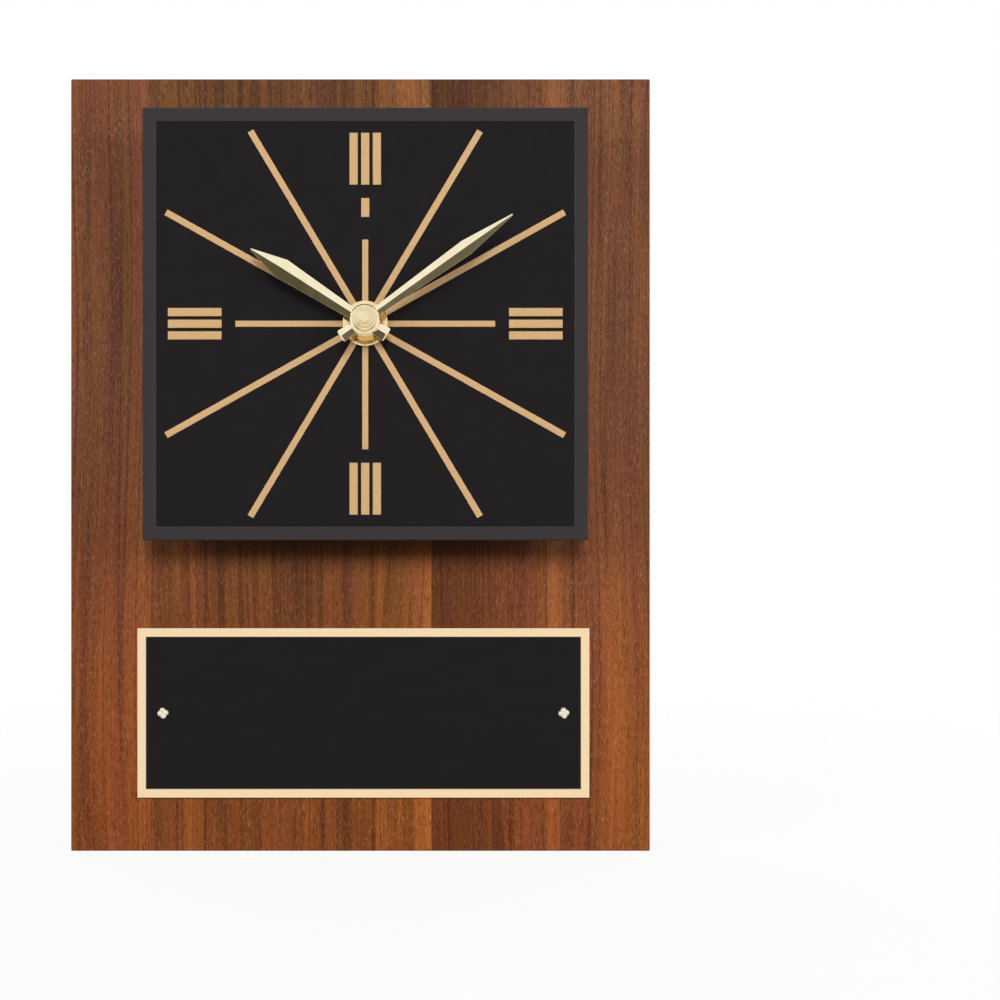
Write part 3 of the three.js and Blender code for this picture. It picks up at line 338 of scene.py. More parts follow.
    @classmethod
    def round_off(cls, piece: Object, width: float, segments: int, test: Test) -> None:
        """Rounds the edges that a test picks.

        Args:
            piece: The piece to change.
            width: How far from the edge the rounding starts.
            segments: Faces across it.
            test: Says whether an edge is rounded, from its corners in millimetres.
        """
        with cls.edit(piece):
            cls.pick(Element.EDGES, test)
            bpy.ops.mesh.bevel(offset=width * MM, segments=segments, affect="EDGES", clamp_overlap=False)

    @classmethod
    def break_edges(cls, piece: Object, width: float, segments: int = 2, above: float = 30) -> None:
        """Rounds every edge sharper than an angle."""
        cls.finish_with(
            piece, "BEVEL", width=width * MM, segments=segments, limit_method="ANGLE",
            angle_limit=math.radians(above), use_clamp_overlap=True, harden_normals=False,
        )

    @classmethod
    def smooth(cls, piece: Object, below: float = 30) -> None:
        """Shades a piece smooth, and keeps its large faces flat.

        Args:
            piece: The piece.
            below: Edges flatter than this many degrees are smooth.
        """
        cls.take(piece)
        bpy.ops.object.shade_smooth_by_angle(angle=math.radians(below))
        cls.finish_with(piece, "WEIGHTED_NORMAL", mode="FACE_AREA", keep_sharp=True)


class Recipe:
    """The node tree of a material or a world while it is being made."""

    def __init__(self, owner: Material | bpy.types.World) -> None:
        """Starts from the output and shader that a new tree has.

        Args:
            owner: The material or world.
        """
        self.owner = owner
        self.owner.use_nodes = True
        self.tree = owner.node_tree

    def add(self, kind: str, links: Links | None = None, out: str | int = 0, **settings: object) -> Socket:
        """Adds a node with its settings and links.

        Args:
            kind: The node's type, without its common prefix.
            links: A socket of another node, or a value, for each input.
            out: The output to go on with.
            **settings: The node's properties.

        Returns:
            That output.
        """
        node = self.tree.nodes.new("ShaderNode" + kind)
        for key, value in settings.items():
            setattr(node, key, value)
        self.feed(node, links or {})
        return node.outputs[out]

    def feed(self, node: Node, links: Links) -> None:
        """Links sockets to a node's inputs, or sets their values.

        Args:
            node: The node.
            links: A socket or a value for each input.
        """
        for key, value in links.items():
            if isinstance(value, Socket):
                self.tree.links.new(value, node.inputs[key])
            else:
                node.inputs[key].default_value = value


@dataclass(frozen=True)
class Layer:
    """A noise of a known size, and how much of it shows.

    Attributes:
        size: Size of its grain along x, y and z, in millimetres.
        detail: How many finer octaves it has.
        rough: How strong the finer octaves are.
        span: Two levels of the noise.
        shown: How much shows at those levels.
        start: Where it starts along x, y and z, in grains.
        tone: sRGB hex of what shows, where it has a colour of its own.
    """

    size: Triple
    detail: float = 3.0
    rough: float = 0.5
    span: Span = (0.3, 0.7)
    shown: Span = (0.0, 1.0)
    start: Triple = (0.0, 0.0, 0.0)
    tone: str = WHITE

    def noise(self, recipe: Recipe, place: Socket, unit: float = 1.0, out: str | int = 0) -> Socket:
        """Adds the noise itself.

        Args:
            recipe: The material being made.
            place: Where the noise is looked up.
            unit: What a millimetre is there.
            out: Its level at 0, and three levels at 1.

        Returns:
            The socket with the noise.
        """
        scale = [1 / (unit * size) for size in self.size]
        sized = recipe.add("Mapping", {"Vector": place, "Location": self.start, "Scale": scale})
        octaves = {"Scale": 1.0, "Detail": self.detail, "Roughness": self.rough}
        return recipe.add("TexNoise", {"Vector": sized, **octaves}, out)

    def share(self, recipe: Recipe, level: Socket, ease: Ease = Ease.EVEN) -> Socket:
        """Adds how much of the layer shows at a level."""
        ends = dict(zip(("From Min", "From Max", "To Min", "To Max"), self.span + self.shown))
        return recipe.add("MapRange", {"Value": level, **ends}, interpolation_type=ease.value)


@dataclass(frozen=True)
class Finish:
    """A finish with one mottled or drawn grain that varies its colour, gloss and relief.

    Attributes:
        name: The real material and how its surface was made.
        tone: sRGB hex of the high parts of the grain.
        shade: sRGB hex of the low parts.
        roughness: Roughness of the low and the high parts.
        grain: Size of the grain along x, y and z, in millimetres.
        relief: Height of the grain in millimetres.
        metallic: 1 for bare metal.
        specular: Specular level, where the real surface reflects less than the usual amount.
    """

    name: str
    tone: str
    shade: str
    roughness: Span
    grain: Triple
    relief: float = 0.0
    metallic: float = 0.0
    specular: float = 0.5

    def material(self) -> Material:
        """Makes the material.

        Returns:
            A material on Object coordinates.
        """
        recipe = Recipe(bpy.data.materials.new(self.name))
        shader = recipe.tree.nodes["Principled BSDF"]
        recipe.feed(shader, {"Metallic": self.metallic, "Specular IOR Level": self.specular})
        self.grow(recipe, shader, recipe.add("TexCoord", out="Object"))
        return recipe.owner

    def grow(self, recipe: Recipe, shader: Node, place: Socket) -> None:
        """Adds the grain and feeds the shader.

        Args:
            recipe: The material being made.
            shader: Its shader.
            place: The place on the piece, in metres.
        """
        grain = Layer(self.grain)
        level = grain.share(recipe, grain.noise(recipe, place, MM), Ease.SOFT)
        colour, gloss = self.coat(recipe, level)
        recipe.feed(shader, {"Base Color": colour, "Roughness": gloss})
        if self.relief:
            bump = recipe.add("Bump", {"Height": level, "Strength": 1.0, "Distance": self.relief * MM})
            recipe.feed(shader, {"Normal": bump})

    def coat(self, recipe: Recipe, level: Socket) -> tuple[Socket, Socket]:
        """Adds the colour and the roughness at a level of the grain.

        Args:
            recipe: The material being made.
            level: The level, from the low parts to the high ones.

        Returns:
            The sockets with the colour and the roughness.
        """
        tones = {COLOUR_A: linear(self.shade), COLOUR_B: linear(self.tone)}
        low, high = self.roughness
        return (
            recipe.add("Mix", {"Factor": level, **tones}, COLOUR_OUT, data_type="RGBA"),
            recipe.add("MapRange", {"Value": level, "To Min": low, "To Max": high}),
        )


@dataclass(frozen=True)
class Stave:
    """One of the boards that the panel is glued from.

    Attributes:
        left: Its left edge, in millimetres right of the centre.
        tones: How light it is at its left and right edge.
        cast: Its red, green and blue, as shares of the mean.
    """

    left: float
    tones: Span
    cast: Triple = (1.0, 1.0, 1.0)


@dataclass(frozen=True)
class Walnut(Finish):
    """Planed walnut staves, glued edge to edge and lacquered satin.

    Attributes:
        row: The staves from left to right.
        right: The last stave's right edge, in millimetres right of the centre.
        stave_shift: How far along x, y and z of the tree each stave lies from the one before, in millimetres.
        sway: How the grain bends.
        sway_reach: How far it bends along x, y and z, in millimetres.
        figure: The broad light and dark bands.
        fibre: The fine lines in them, and the levels of both together.
        fibre_part: The fibre's part in those levels.
        hue: The redder and the more golden bands.
        red: Red, green and blue of the redder bands, as shares of the mean.
        gold: The same for the golden bands.
        line: The faint growth lines, by their distance from the noise's middle.
        streaks: Where the strongest lines run, in millimetres right of the centre.
        streak_width: How far such a line fades to each side, in millimetres.
        streak_depth: How much of it shows.
        streak_bow: How far it wanders, in millimetres.
        pore: The open pores.
        ray_glint: The short rays of the wood, painted pale as glints of light on them.
        tone_shade_patch: The slow change of lightness in a stave, partly the wood's tone and partly painted
            shade, started so that it darkens the band under the clock.
        sheen_shade_drift: Red, green and blue of the lower end, as shares of the upper end's; a painted sheen
            makes the upper end cooler and paler.
        sheen_shade_ends: Where the drift starts and ends, in millimetres above the centre; set so that the
            band under the clock stays darker, a painted shade.
    """

    row: tuple[Stave, ...] = (
        Stave(-114.3, (1.0, 1.0), (1.0, 0.94, 0.96)),
        Stave(-83.0, (0.86, 0.8), (1.0, 1.03, 0.92)),
        Stave(6.1, (1.0, 1.3), (1.0, 1.03, 0.8)),
        Stave(28.0, (0.52, 0.94), (1.0, 0.98, 1.0)),
        Stave(74.0, (1.16, 1.02)),
    )
    right: float = 114.3
    stave_shift: Triple = (53.0, 37.0, 610.0)
    sway: Layer = Layer((90, 90, 240), 1.0)
    sway_reach: Triple = (14.0, 14.0, 0.0)
    figure: Layer = Layer((13, 30, 360), 2.0, 0.55)
    fibre: Layer = Layer((0.62, 2, 70), 3.0, 0.55, (0.34, 0.66))
    fibre_part: float = 0.5
    hue: Layer = Layer((6, 20, 130), 2.0, 0.55, (0.38, 0.62))
    red: Triple = (0.95, 0.89, 0.96)
    gold: Triple = (1.04, 1.1, 0.86)
    line: Layer = Layer((8, 40, 620), 1.0, 0.55, (0.0, 0.035), (0.5, 0.0), tone="432720")
    streaks: tuple[float, ...] = (-61.3, -47.5, -6.1, 5.2, 83.0)
    streak_width: float = 1.3
    streak_depth: float = 0.62
    streak_bow: float = 6.0
    pore: Layer = Layer((0.42, 0.6, 2.6), 1.0, 0.55, (0.5, 0.72), (0.0, 0.6), tone="44261a")
    # Short rays painted pale as glints, the same from every side
    ray_glint: Layer = Layer((0.42, 0.6, 1.8), 1.0, 0.55, (0.54, 0.74), (0.0, 0.4), tone="ab8672")
    # Started where it darkens the wood under the clock: partly the wood's tone, partly painted shade
    tone_shade_patch: Layer = Layer((60, 60, 120), 1.0, shown=(0.9, 1.08), start=(0.5, 0.3, 1.4))
    sheen_shade_drift: Triple = (1.36, 1.0, 0.64)
    sheen_shade_ends: Span = (40.0, -135.0)

    def grow(self, recipe: Recipe, shader: Node, place: Socket) -> None:
        """Adds the staves, figure, growth lines and pores, and feeds the shader.

        Args:
            recipe: The material being made.
            shader: Its shader.
            place: The place on the board, in metres.
        """
        mm = recipe.add("VectorMath", {0: place, "Scale": 1 / MM}, operation="SCALE")
        axes = recipe.add("SeparateXYZ", {0: mm}).node.outputs
        number, tint = self.staves(recipe, axes["X"])
        # Each stave comes from another part of the tree, so its grain doesn't run on across the joint
        shift = recipe.add("VectorMath", {0: self.stave_shift, "Scale": number}, operation="SCALE")
        own = recipe.add("VectorMath", {0: mm, 1: shift}, operation="ADD")
        bend = self.sway.noise(recipe, own, out=1)
        reach = recipe.add("VectorMath", {0: bend, 1: self.sway_reach}, operation="MULTIPLY")
        swayed = recipe.add("VectorMath", {0: own, 1: reach}, operation="ADD")
        broad = {0: self.figure.noise(recipe, swayed), 1: 1 - self.fibre_part}
        bands = recipe.add("Math", broad, operation="MULTIPLY")
        fibres = {0: self.fibre.noise(recipe, swayed), 1: self.fibre_part, 2: bands}
        level = self.fibre.share(recipe, recipe.add("Math", fibres, operation="MULTIPLY_ADD"))
        colour, gloss = self.coat(recipe, level)
        golden = self.hue.share(recipe, self.hue.noise(recipe, swayed))
        casts = {"Factor": golden, VECTOR_A: self.red, VECTOR_B: self.gold}
        cast = recipe.add("Mix", casts, VECTOR_OUT, data_type="VECTOR")
        colour = recipe.add("VectorMath", {0: colour, 1: cast}, operation="MULTIPLY")
        lines = self.lines(recipe, swayed, bend, axes["X"])
        pores = self.pore.share(recipe, self.pore.noise(recipe, swayed))
        # Painted glints on the short rays
        ray_glints = self.ray_glint.share(recipe, self.ray_glint.noise(recipe, swayed))
        for amount, layer in ((lines, self.line), (pores, self.pore), (ray_glints, self.ray_glint)):
            marks = {"Factor": amount, COLOUR_A: colour, COLOUR_B: linear(layer.tone)}
            colour = recipe.add("Mix", marks, COLOUR_OUT, data_type="RGBA")
        # Slow patches of lightness: the wood's own tone, and a painted shade under the clock
        tone_shade_patch = self.tone_shade_patch.share(recipe, self.tone_shade_patch.noise(recipe, own))
        colour = recipe.add("VectorMath", {0: colour, "Scale": tone_shade_patch}, operation="SCALE")
        # The drift along the height is painted light: sheen on the upper wood, shade under the clock
        for share in (tint, self.paint_sheen_and_shade(recipe, axes["Z"])):
            colour = recipe.add("VectorMath", {0: colour, 1: share}, operation="MULTIPLY")
        depth = {"Height": pores, "Strength": 1.0, "Distance": self.relief * MM}
        bump = recipe.add("Bump", depth, invert=True)
        recipe.feed(shader, {"Base Color": colour, "Roughness": gloss, "Normal": bump})

    def staves(self, recipe: Recipe, x: Socket) -> tuple[Socket | float, Tint]:
        """Numbers the staves and tints each from its left edge to its right.

        Args:
            recipe: The material being made.
            x: Millimetres right of the centre.

        Returns:
            The sockets with a stave's number and its red, green and blue shares.
        """
        number: Socket | float = 0.0
        tint: Tint = (1.0, 1.0, 1.0)
        ends = [stave.left for stave in self.row[1:]] + [self.right]
        for stave, right in zip(self.row, ends):
            past = recipe.add("Math", {0: x, 1: stave.left}, operation="GREATER_THAN")
            number = recipe.add("Math", {0: past, 1: number}, operation="ADD")
            first, last = stave.tones
            edges = {"From Min": stave.left, "From Max": right, "To Min": first, "To Max": last}
            across = recipe.add("MapRange", {"Value": x, **edges})
            cast = recipe.add("VectorMath", {0: stave.cast, "Scale": across}, operation="SCALE")
            tints = {"Factor": past, VECTOR_A: tint, VECTOR_B: cast}
            tint = recipe.add("Mix", tints, VECTOR_OUT, data_type="VECTOR")
        return number, tint

    def lines(self, recipe: Recipe, swayed: Socket, bend: Socket, x: Socket) -> Socket:
        """Draws the dark growth lines.

        Args:
            recipe: The material being made.
            swayed: The place in the tree, bent.
            bend: How the grain bends there.
            x: Millimetres right of the centre.

        Returns:
            The socket with how much of a line shows.
        """
        # Faint lines lie where the slow noise crosses its middle value
        centred = recipe.add("Math", {0: self.line.noise(recipe, swayed), 1: 0.5}, operation="SUBTRACT")
        away = recipe.add("Math", {0: centred}, operation="ABSOLUTE")
        lines = self.line.share(recipe, away, Ease.SOFT)
        # The strongest lines run the whole length and wander a little
        aside = recipe.add("SeparateXYZ", {0: bend}, "X")
        bowed = recipe.add("Math", {0: aside, 1: self.streak_bow, 2: x}, operation="MULTIPLY_ADD")
        fade = {"From Max": self.streak_width, "To Min": self.streak_depth, "To Max": 0.0}
        for streak in self.streaks:
            middle = streak + self.streak_bow / 2
            off = recipe.add("Math", {0: bowed, 1: middle}, operation="SUBTRACT")
            apart = recipe.add("Math", {0: off}, operation="ABSOLUTE")
            line = recipe.add("MapRange", {"Value": apart, **fade}, interpolation_type=Ease.SOFT.value)
            lines = recipe.add("Math", {0: lines, 1: line}, operation="MAXIMUM")
        return lines

    def paint_sheen_and_shade(self, recipe: Recipe, z: Socket) -> Socket:
        """Paints the lamps' sheen as a cooler upper end, and warms the lower end below the clock's painted
        shade.

        Args:
            recipe: The material being made.
            z: Millimetres above the centre.

        Returns:
            The socket with red, green and blue shares.
        """
        upper, lower = self.sheen_shade_ends
        fall = {"Value": z, "From Min": upper, "From Max": lower}
        down = recipe.add("MapRange", fall, interpolation_type=Ease.SOFT.value)
        shares = {"Factor": down, VECTOR_A: (1.0, 1.0, 1.0), VECTOR_B: self.sheen_shade_drift}
        return recipe.add("Mix", shares, VECTOR_OUT, data_type="VECTOR")


# Lacquered walnut: warm brown with darker growth lines and a soft sheen
WALNUT = Walnut(
    "walnut_planed_satin_lacquer", "965d3d", "58392a", (0.5, 0.6), (1, 1, 1), 0.04, specular=0.12,
)
# Moulded ABS with a spark-eroded skin: even charcoal with hardly any shine
CHARCOAL_ABS = Finish(
    "abs_moulded_charcoal", "3d393a", "393637", (0.6, 0.7), (0.8, 0.8, 0.8), 0.006, specular=0.1,
)
# Stoved enamel on the dial sheet: near black, smooth and satin
DIAL_ENAMEL = Finish("enamel_stoved_black", "232122", "211f20", (0.5, 0.55), (9, 9, 9), specular=0.03)
# Screen-printed bronze ink: a flat tan gold with a fine sparkle of flake, drawn coarser than it is
GOLD_INK = Finish(
    "bronze_ink_screen_printed", "dcb681", "d3ac79", (0.55, 0.65), (0.5, 0.5, 0.5), 0.003, specular=0.2,
)
# Electroplated brass, buffed: a pale champagne mirror with faint buffing haze
HAND_GOLD = Finish("brass_gold_plated_buffed", "f8eecd", "f2e6c0", (0.08, 0.14), (5, 5, 5), metallic=1.0)
# Stamped brass, flash gilt: nearly white where it catches the light
TACK_GILT = Finish("brass_stamped_flash_gilt", "fffaee", "faf3e2", (0.38, 0.46), (2, 2, 2), metallic=1.0)
# Electroplated brass, turned: a warmer and softer gold than the hands
HUB_GOLD = Finish("brass_gold_plated_turned", "f3e5c2", "ead6a6", (0.16, 0.24), (4, 4, 4), metallic=1.0)
# Stamped brass under tinted lacquer: a cream gold that deepens to orange where it mirrors itself
WASHER_GOLD = Finish(
    "brass_stamped_tinted_lacquer", "f5deb0", "edd29e", (0.12, 0.18), (4, 4, 4), metallic=1.0,
)
# Rolled sheet brass, brushed along its length under clear lacquer: an even pale satin
SATIN_BRASS = Finish(
    "brass_sheet_brushed_lacquered", "f9dfb6", "f5d9b0", (0.14, 0.2), (22, 0.5, 0.35), 0.0003, metallic=1.0,
)
# Black enamel rolled on the brass sheet: smooth and satin
PLATE_ENAMEL = Finish("enamel_rolled_black", "1c1a1a", "1a1818", (0.5, 0.55), (18, 6, 3), specular=0.1)
# Moulded ABS of the movement's case: black with a fine moulded grain
MOVEMENT_ABS = Finish(
    "abs_moulded_black", "26272a", "1f2022", (0.45, 0.6), (0.9, 0.9, 0.9), 0.015, specular=0.35,
)
# Moulded acetal: milky white with a waxy gloss
ACETAL = Finish("acetal_moulded_white", "e6e3da", "dcd8cd", (0.35, 0.45), (3, 3, 3))
# Hobbed brass of the arbors and the centre wheel: yellow, with turning marks
TRAIN_BRASS = Finish("brass_turned", "cda765", "b8924f", (0.25, 0.4), (0.4, 4, 0.4), 0.002, metallic=1.0)
# Zinc-plated steel: cool grey with a slight bluish mottle
ZINC_STEEL = Finish("steel_zinc_plated", "b9bbbd", "9da0a4", (0.3, 0.45), (1.5, 1.5, 1.5), metallic=1.0)
# Enamelled winding wire: turns of 0.1 mm, drawn at 0.4 mm so that they show
WINDING = Finish("copper_wire_enamelled", "b9683a", "7d3f1f", (0.3, 0.45), (30, 30, 0.4), 0.05, metallic=0.7)
# Glass-epoxy laminate under green solder mask
LAMINATE = Finish("epoxy_laminate_green", "2f6a3f", "24542f", (0.3, 0.45), (1.2, 1.2, 1.2), 0.01)
# Nitrile rubber, cut from sheet: dull black
RUBBER = Finish("rubber_nitrile_cut", "1f1f1f", "171717", (0.8, 0.9), (0.7, 0.7, 0.7), 0.02, specular=0.3)
# Nylon bobbin: amber and slightly glossy
NYLON = Finish("nylon_moulded_amber", "cb9144", "bd8238", (0.4, 0.5), (2, 2, 2))
# Printed film on the cell's jacket: plain slate with a soft gloss
CELL_FILM = Finish("film_shrunk_slate", "4a5260", "424956", (0.3, 0.38), (9, 9, 9))


class Dresser:
    """Gives pieces their materials, bodies and nodes, and reports them."""

    made: dict[str, Material] = {}

    @classmethod
    def coat(cls, piece: Object, finish: Finish) -> None:
        """Gives a piece one finish, made once and shared.

        Args:
            piece: The piece.
            finish: The finish.
        """
        if finish.name not in cls.made:
            cls.made[finish.name] = finish.material()
        piece.data.materials.clear()
        piece.data.materials.append(cls.made[finish.name])

    @classmethod
    def dress(cls, piece: Object, finish: Finish, slot: str, body: str, node: str | None = None) -> None:
        """Finishes a new piece and ties it to the frame.

        Args:
            piece: The finished mesh.
            finish: Its finish.
            slot: The record's material slot; not used.
            body: The body that it moves with.
            node: The CAD node that it stands for, if any.
        """
        cls.coat(piece, finish)
        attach(piece, body)
        if node:
            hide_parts(node)
        log.info("%s rides on %s, %d faces", piece.name, body, len(piece.data.polygons))

    @classmethod
    def keep(cls, node: str, finish: Finish) -> None:
        """Gives a CAD node whose shape is right its finish."""
        cls.coat(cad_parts[node], finish)
        log.info("%s kept", node)


@dataclass
class Board:
    """The walnut board, routed from behind."""

    half: Span = (114.3, 152.4)
    thickness: float = 19.05
    eased: float = 0.5
    access_half: Span = (31.75, 32.3)
    access_corner: float = 3.0
    hang_rise: float = 118.0
    hang_travel: float = 14.0
    hang_radius: float = 5.0
    hang_neck: float = 2.5
    hang_lip: float = 3.0
    hang_depth: float = 9.0
    screw_hole: float = 1.8
    head_hole: float = 3.6
    head_depth: float = 3.5
    tack_hole: float = 0.65
    tack_depth: float = 8.85

    def build(self) -> None:
        """Eases the edges of a blank, then routs and drills it."""
        board = Bench.slab("board_walnut", (0, 0), self.half, (0, self.thickness))
        Bench.break_edges(board, self.eased, segments=3)
        Bench.combine(board, Merge.CUT, self.access(), *self.keyhole(), *self.drills())
        Bench.smooth(board)
        Dresser.dress(board, WALNUT, "walnut", "plaque", "walnut_board")

    def access(self) -> Object:
        """Makes the router's path for the movement.

        Returns:
            A cutter with rounded corners.
        """
        cutter = Bench.slab("access", HAND_AXIS, self.access_half, (-PAST, self.thickness + PAST))
        Bench.round_off(cutter, self.access_corner, 8, lambda cs: abs(cs[0].y - cs[1].y) > self.thickness)
        return cutter

    def keyhole(self) -> list[Object]:
        """Makes the path of a keyhole cutter.

        Returns:
            The entry, the narrow neck and the wide room behind it.
        """
        top = self.hang_rise + self.hang_travel
        run = (self.hang_rise, top)
        wide, neck = self.hang_radius, self.hang_neck
        inside = (self.hang_lip, self.hang_depth)
        through = (-PAST, self.hang_lip + PAST)
        return [
            Bench.rod("entry", wide, (-PAST, self.hang_depth), (0, self.hang_rise)),
            Bench.block("room", (-wide, wide), inside, run),
            Bench.rod("room_end", wide, inside, (0, top)),
            Bench.block("neck", (-neck, neck), through, run),
            Bench.rod("neck_end", neck, through, (0, top)),
        ]

    def drills(self) -> list[Object]:
        """Makes the drills for the case screws and the tacks.

        Returns:
            Four stepped drills and two fine ones.
        """
        far = self.thickness + PAST
        step = [
            (0, -PAST), (self.head_hole, -PAST), (self.head_hole, self.head_depth),
            (self.screw_hole, self.head_depth), (self.screw_hole, far), (0, far),
        ]
        (x, z), sides = HAND_AXIS, (-SCREW_OFFSET, SCREW_OFFSET)
        corners = [(x + side, z + end) for side in sides for end in sides]
        drills = [Bench.turned("screw_drill", step, at, steps=48) for at in corners]
        for side in (-TACK_OFFSET, TACK_OFFSET):
            at = (PLATE_MIDDLE[0] + side, PLATE_MIDDLE[1])
            drills.append(Bench.rod("tack_drill", self.tack_hole, (self.tack_depth, far), at))
        return drills


@dataclass
class Nameplate:
    """The blank brass nameplate and its two rosette tacks."""

    half: Span = (89.0, 33.35)
    back: float = 19.15
    border: float = 3.3
    border_face: float = 20.15
    border_edge: float = 0.08
    recess: float = 0.2
    enamel: float = 0.06
    clearance: float = 0.1
    tack_seat: float = 20.05
    tack_tip: float = 9.15
    tack_shank: float = 0.6
    tack_point: float = 1.2
    lobe_count: int = 4
    lobe_start: float = -8.0
    lobe_offset: float = 1.05
    lobe_radius: float = 1.28
    lobe_rise: float = 1.15
    lobe_rings: int = 10

    def build(self) -> None:
        """Makes the border, the enamel field and the tacks."""
        Dresser.dress(self.sheet(), SATIN_BRASS, "plate_brass", "plaque", "nameplate")
        Dresser.dress(self.field(), PLATE_ENAMEL, "dial_black", "plaque")
        for side, offset in (("left", -TACK_OFFSET), ("right", TACK_OFFSET)):
            tack = self.tack("plate_tack_" + side, (PLATE_MIDDLE[0] + offset, PLATE_MIDDLE[1]))
            Dresser.dress(tack, TACK_GILT, "gold", "plaque", "plate_pin_" + side)

    def sheet(self) -> Object:
        """Makes the brass sheet with its border standing above the field.

        Returns:
            The sheet.
        """
        sheet = Bench.slab("plate_brass_sheet", PLATE_MIDDLE, self.half, (self.back, self.border_face))
        with Bench.edit(sheet):
            Bench.pick(Element.FACES, lambda cs: at_depth(cs, self.border_face))
            bpy.ops.mesh.inset(thickness=self.border * MM)
            move = {"value": (0, self.recess * MM, 0)}
            bpy.ops.mesh.extrude_region_move(TRANSFORM_OT_translate=move)
        Bench.break_edges(sheet, self.border_edge)
        Bench.smooth(sheet)
        return sheet

    def field(self) -> Object:
        """Makes the enamel that fills the recess.

        Returns:
            The enamel.
        """
        inset = self.border + self.clearance
        half = (self.half[0] - inset, self.half[1] - inset)
        face = self.border_face - self.recess
        depth = (face - self.enamel / 3, face + self.enamel)
        enamel = Bench.slab("plate_enamel_field", PLATE_MIDDLE, half, depth)
        Bench.break_edges(enamel, self.enamel / 2)
        return enamel

    def tack(self, name: str, at: Span) -> Object:
        """Turns a tack and joins round lobes into its head.

        Args:
            name: The tack's name.
            at: Its axis.

        Returns:
            The tack.
        """
        shoulder = self.tack_tip + self.tack_point
        top = self.tack_seat + self.lobe_rise / 4
        shank = [(0, self.tack_tip), (self.tack_shank, shoulder), (self.tack_shank, top), (0, top)]
        tack = Bench.turned(name, shank, at, steps=24)
        arc = [math.pi / 2 * ring / self.lobe_rings for ring in range(self.lobe_rings)]
        lobe = [
            (0, self.tack_seat),
            *((self.lobe_radius * math.cos(a), self.tack_seat + self.lobe_rise * math.sin(a)) for a in arc),
            (0, self.tack_seat + self.lobe_rise),
        ]
        for number in range(self.lobe_count):
            turn = math.radians(self.lobe_start + 360 * number / self.lobe_count)
            place = (at[0] + self.lobe_offset * math.sin(turn), at[1] + self.lobe_offset * math.cos(turn))
            Bench.combine(tack, Merge.JOIN, Bench.turned("lobe", lobe, place, steps=40))
        Bench.smooth(tack, below=40)
        return tack


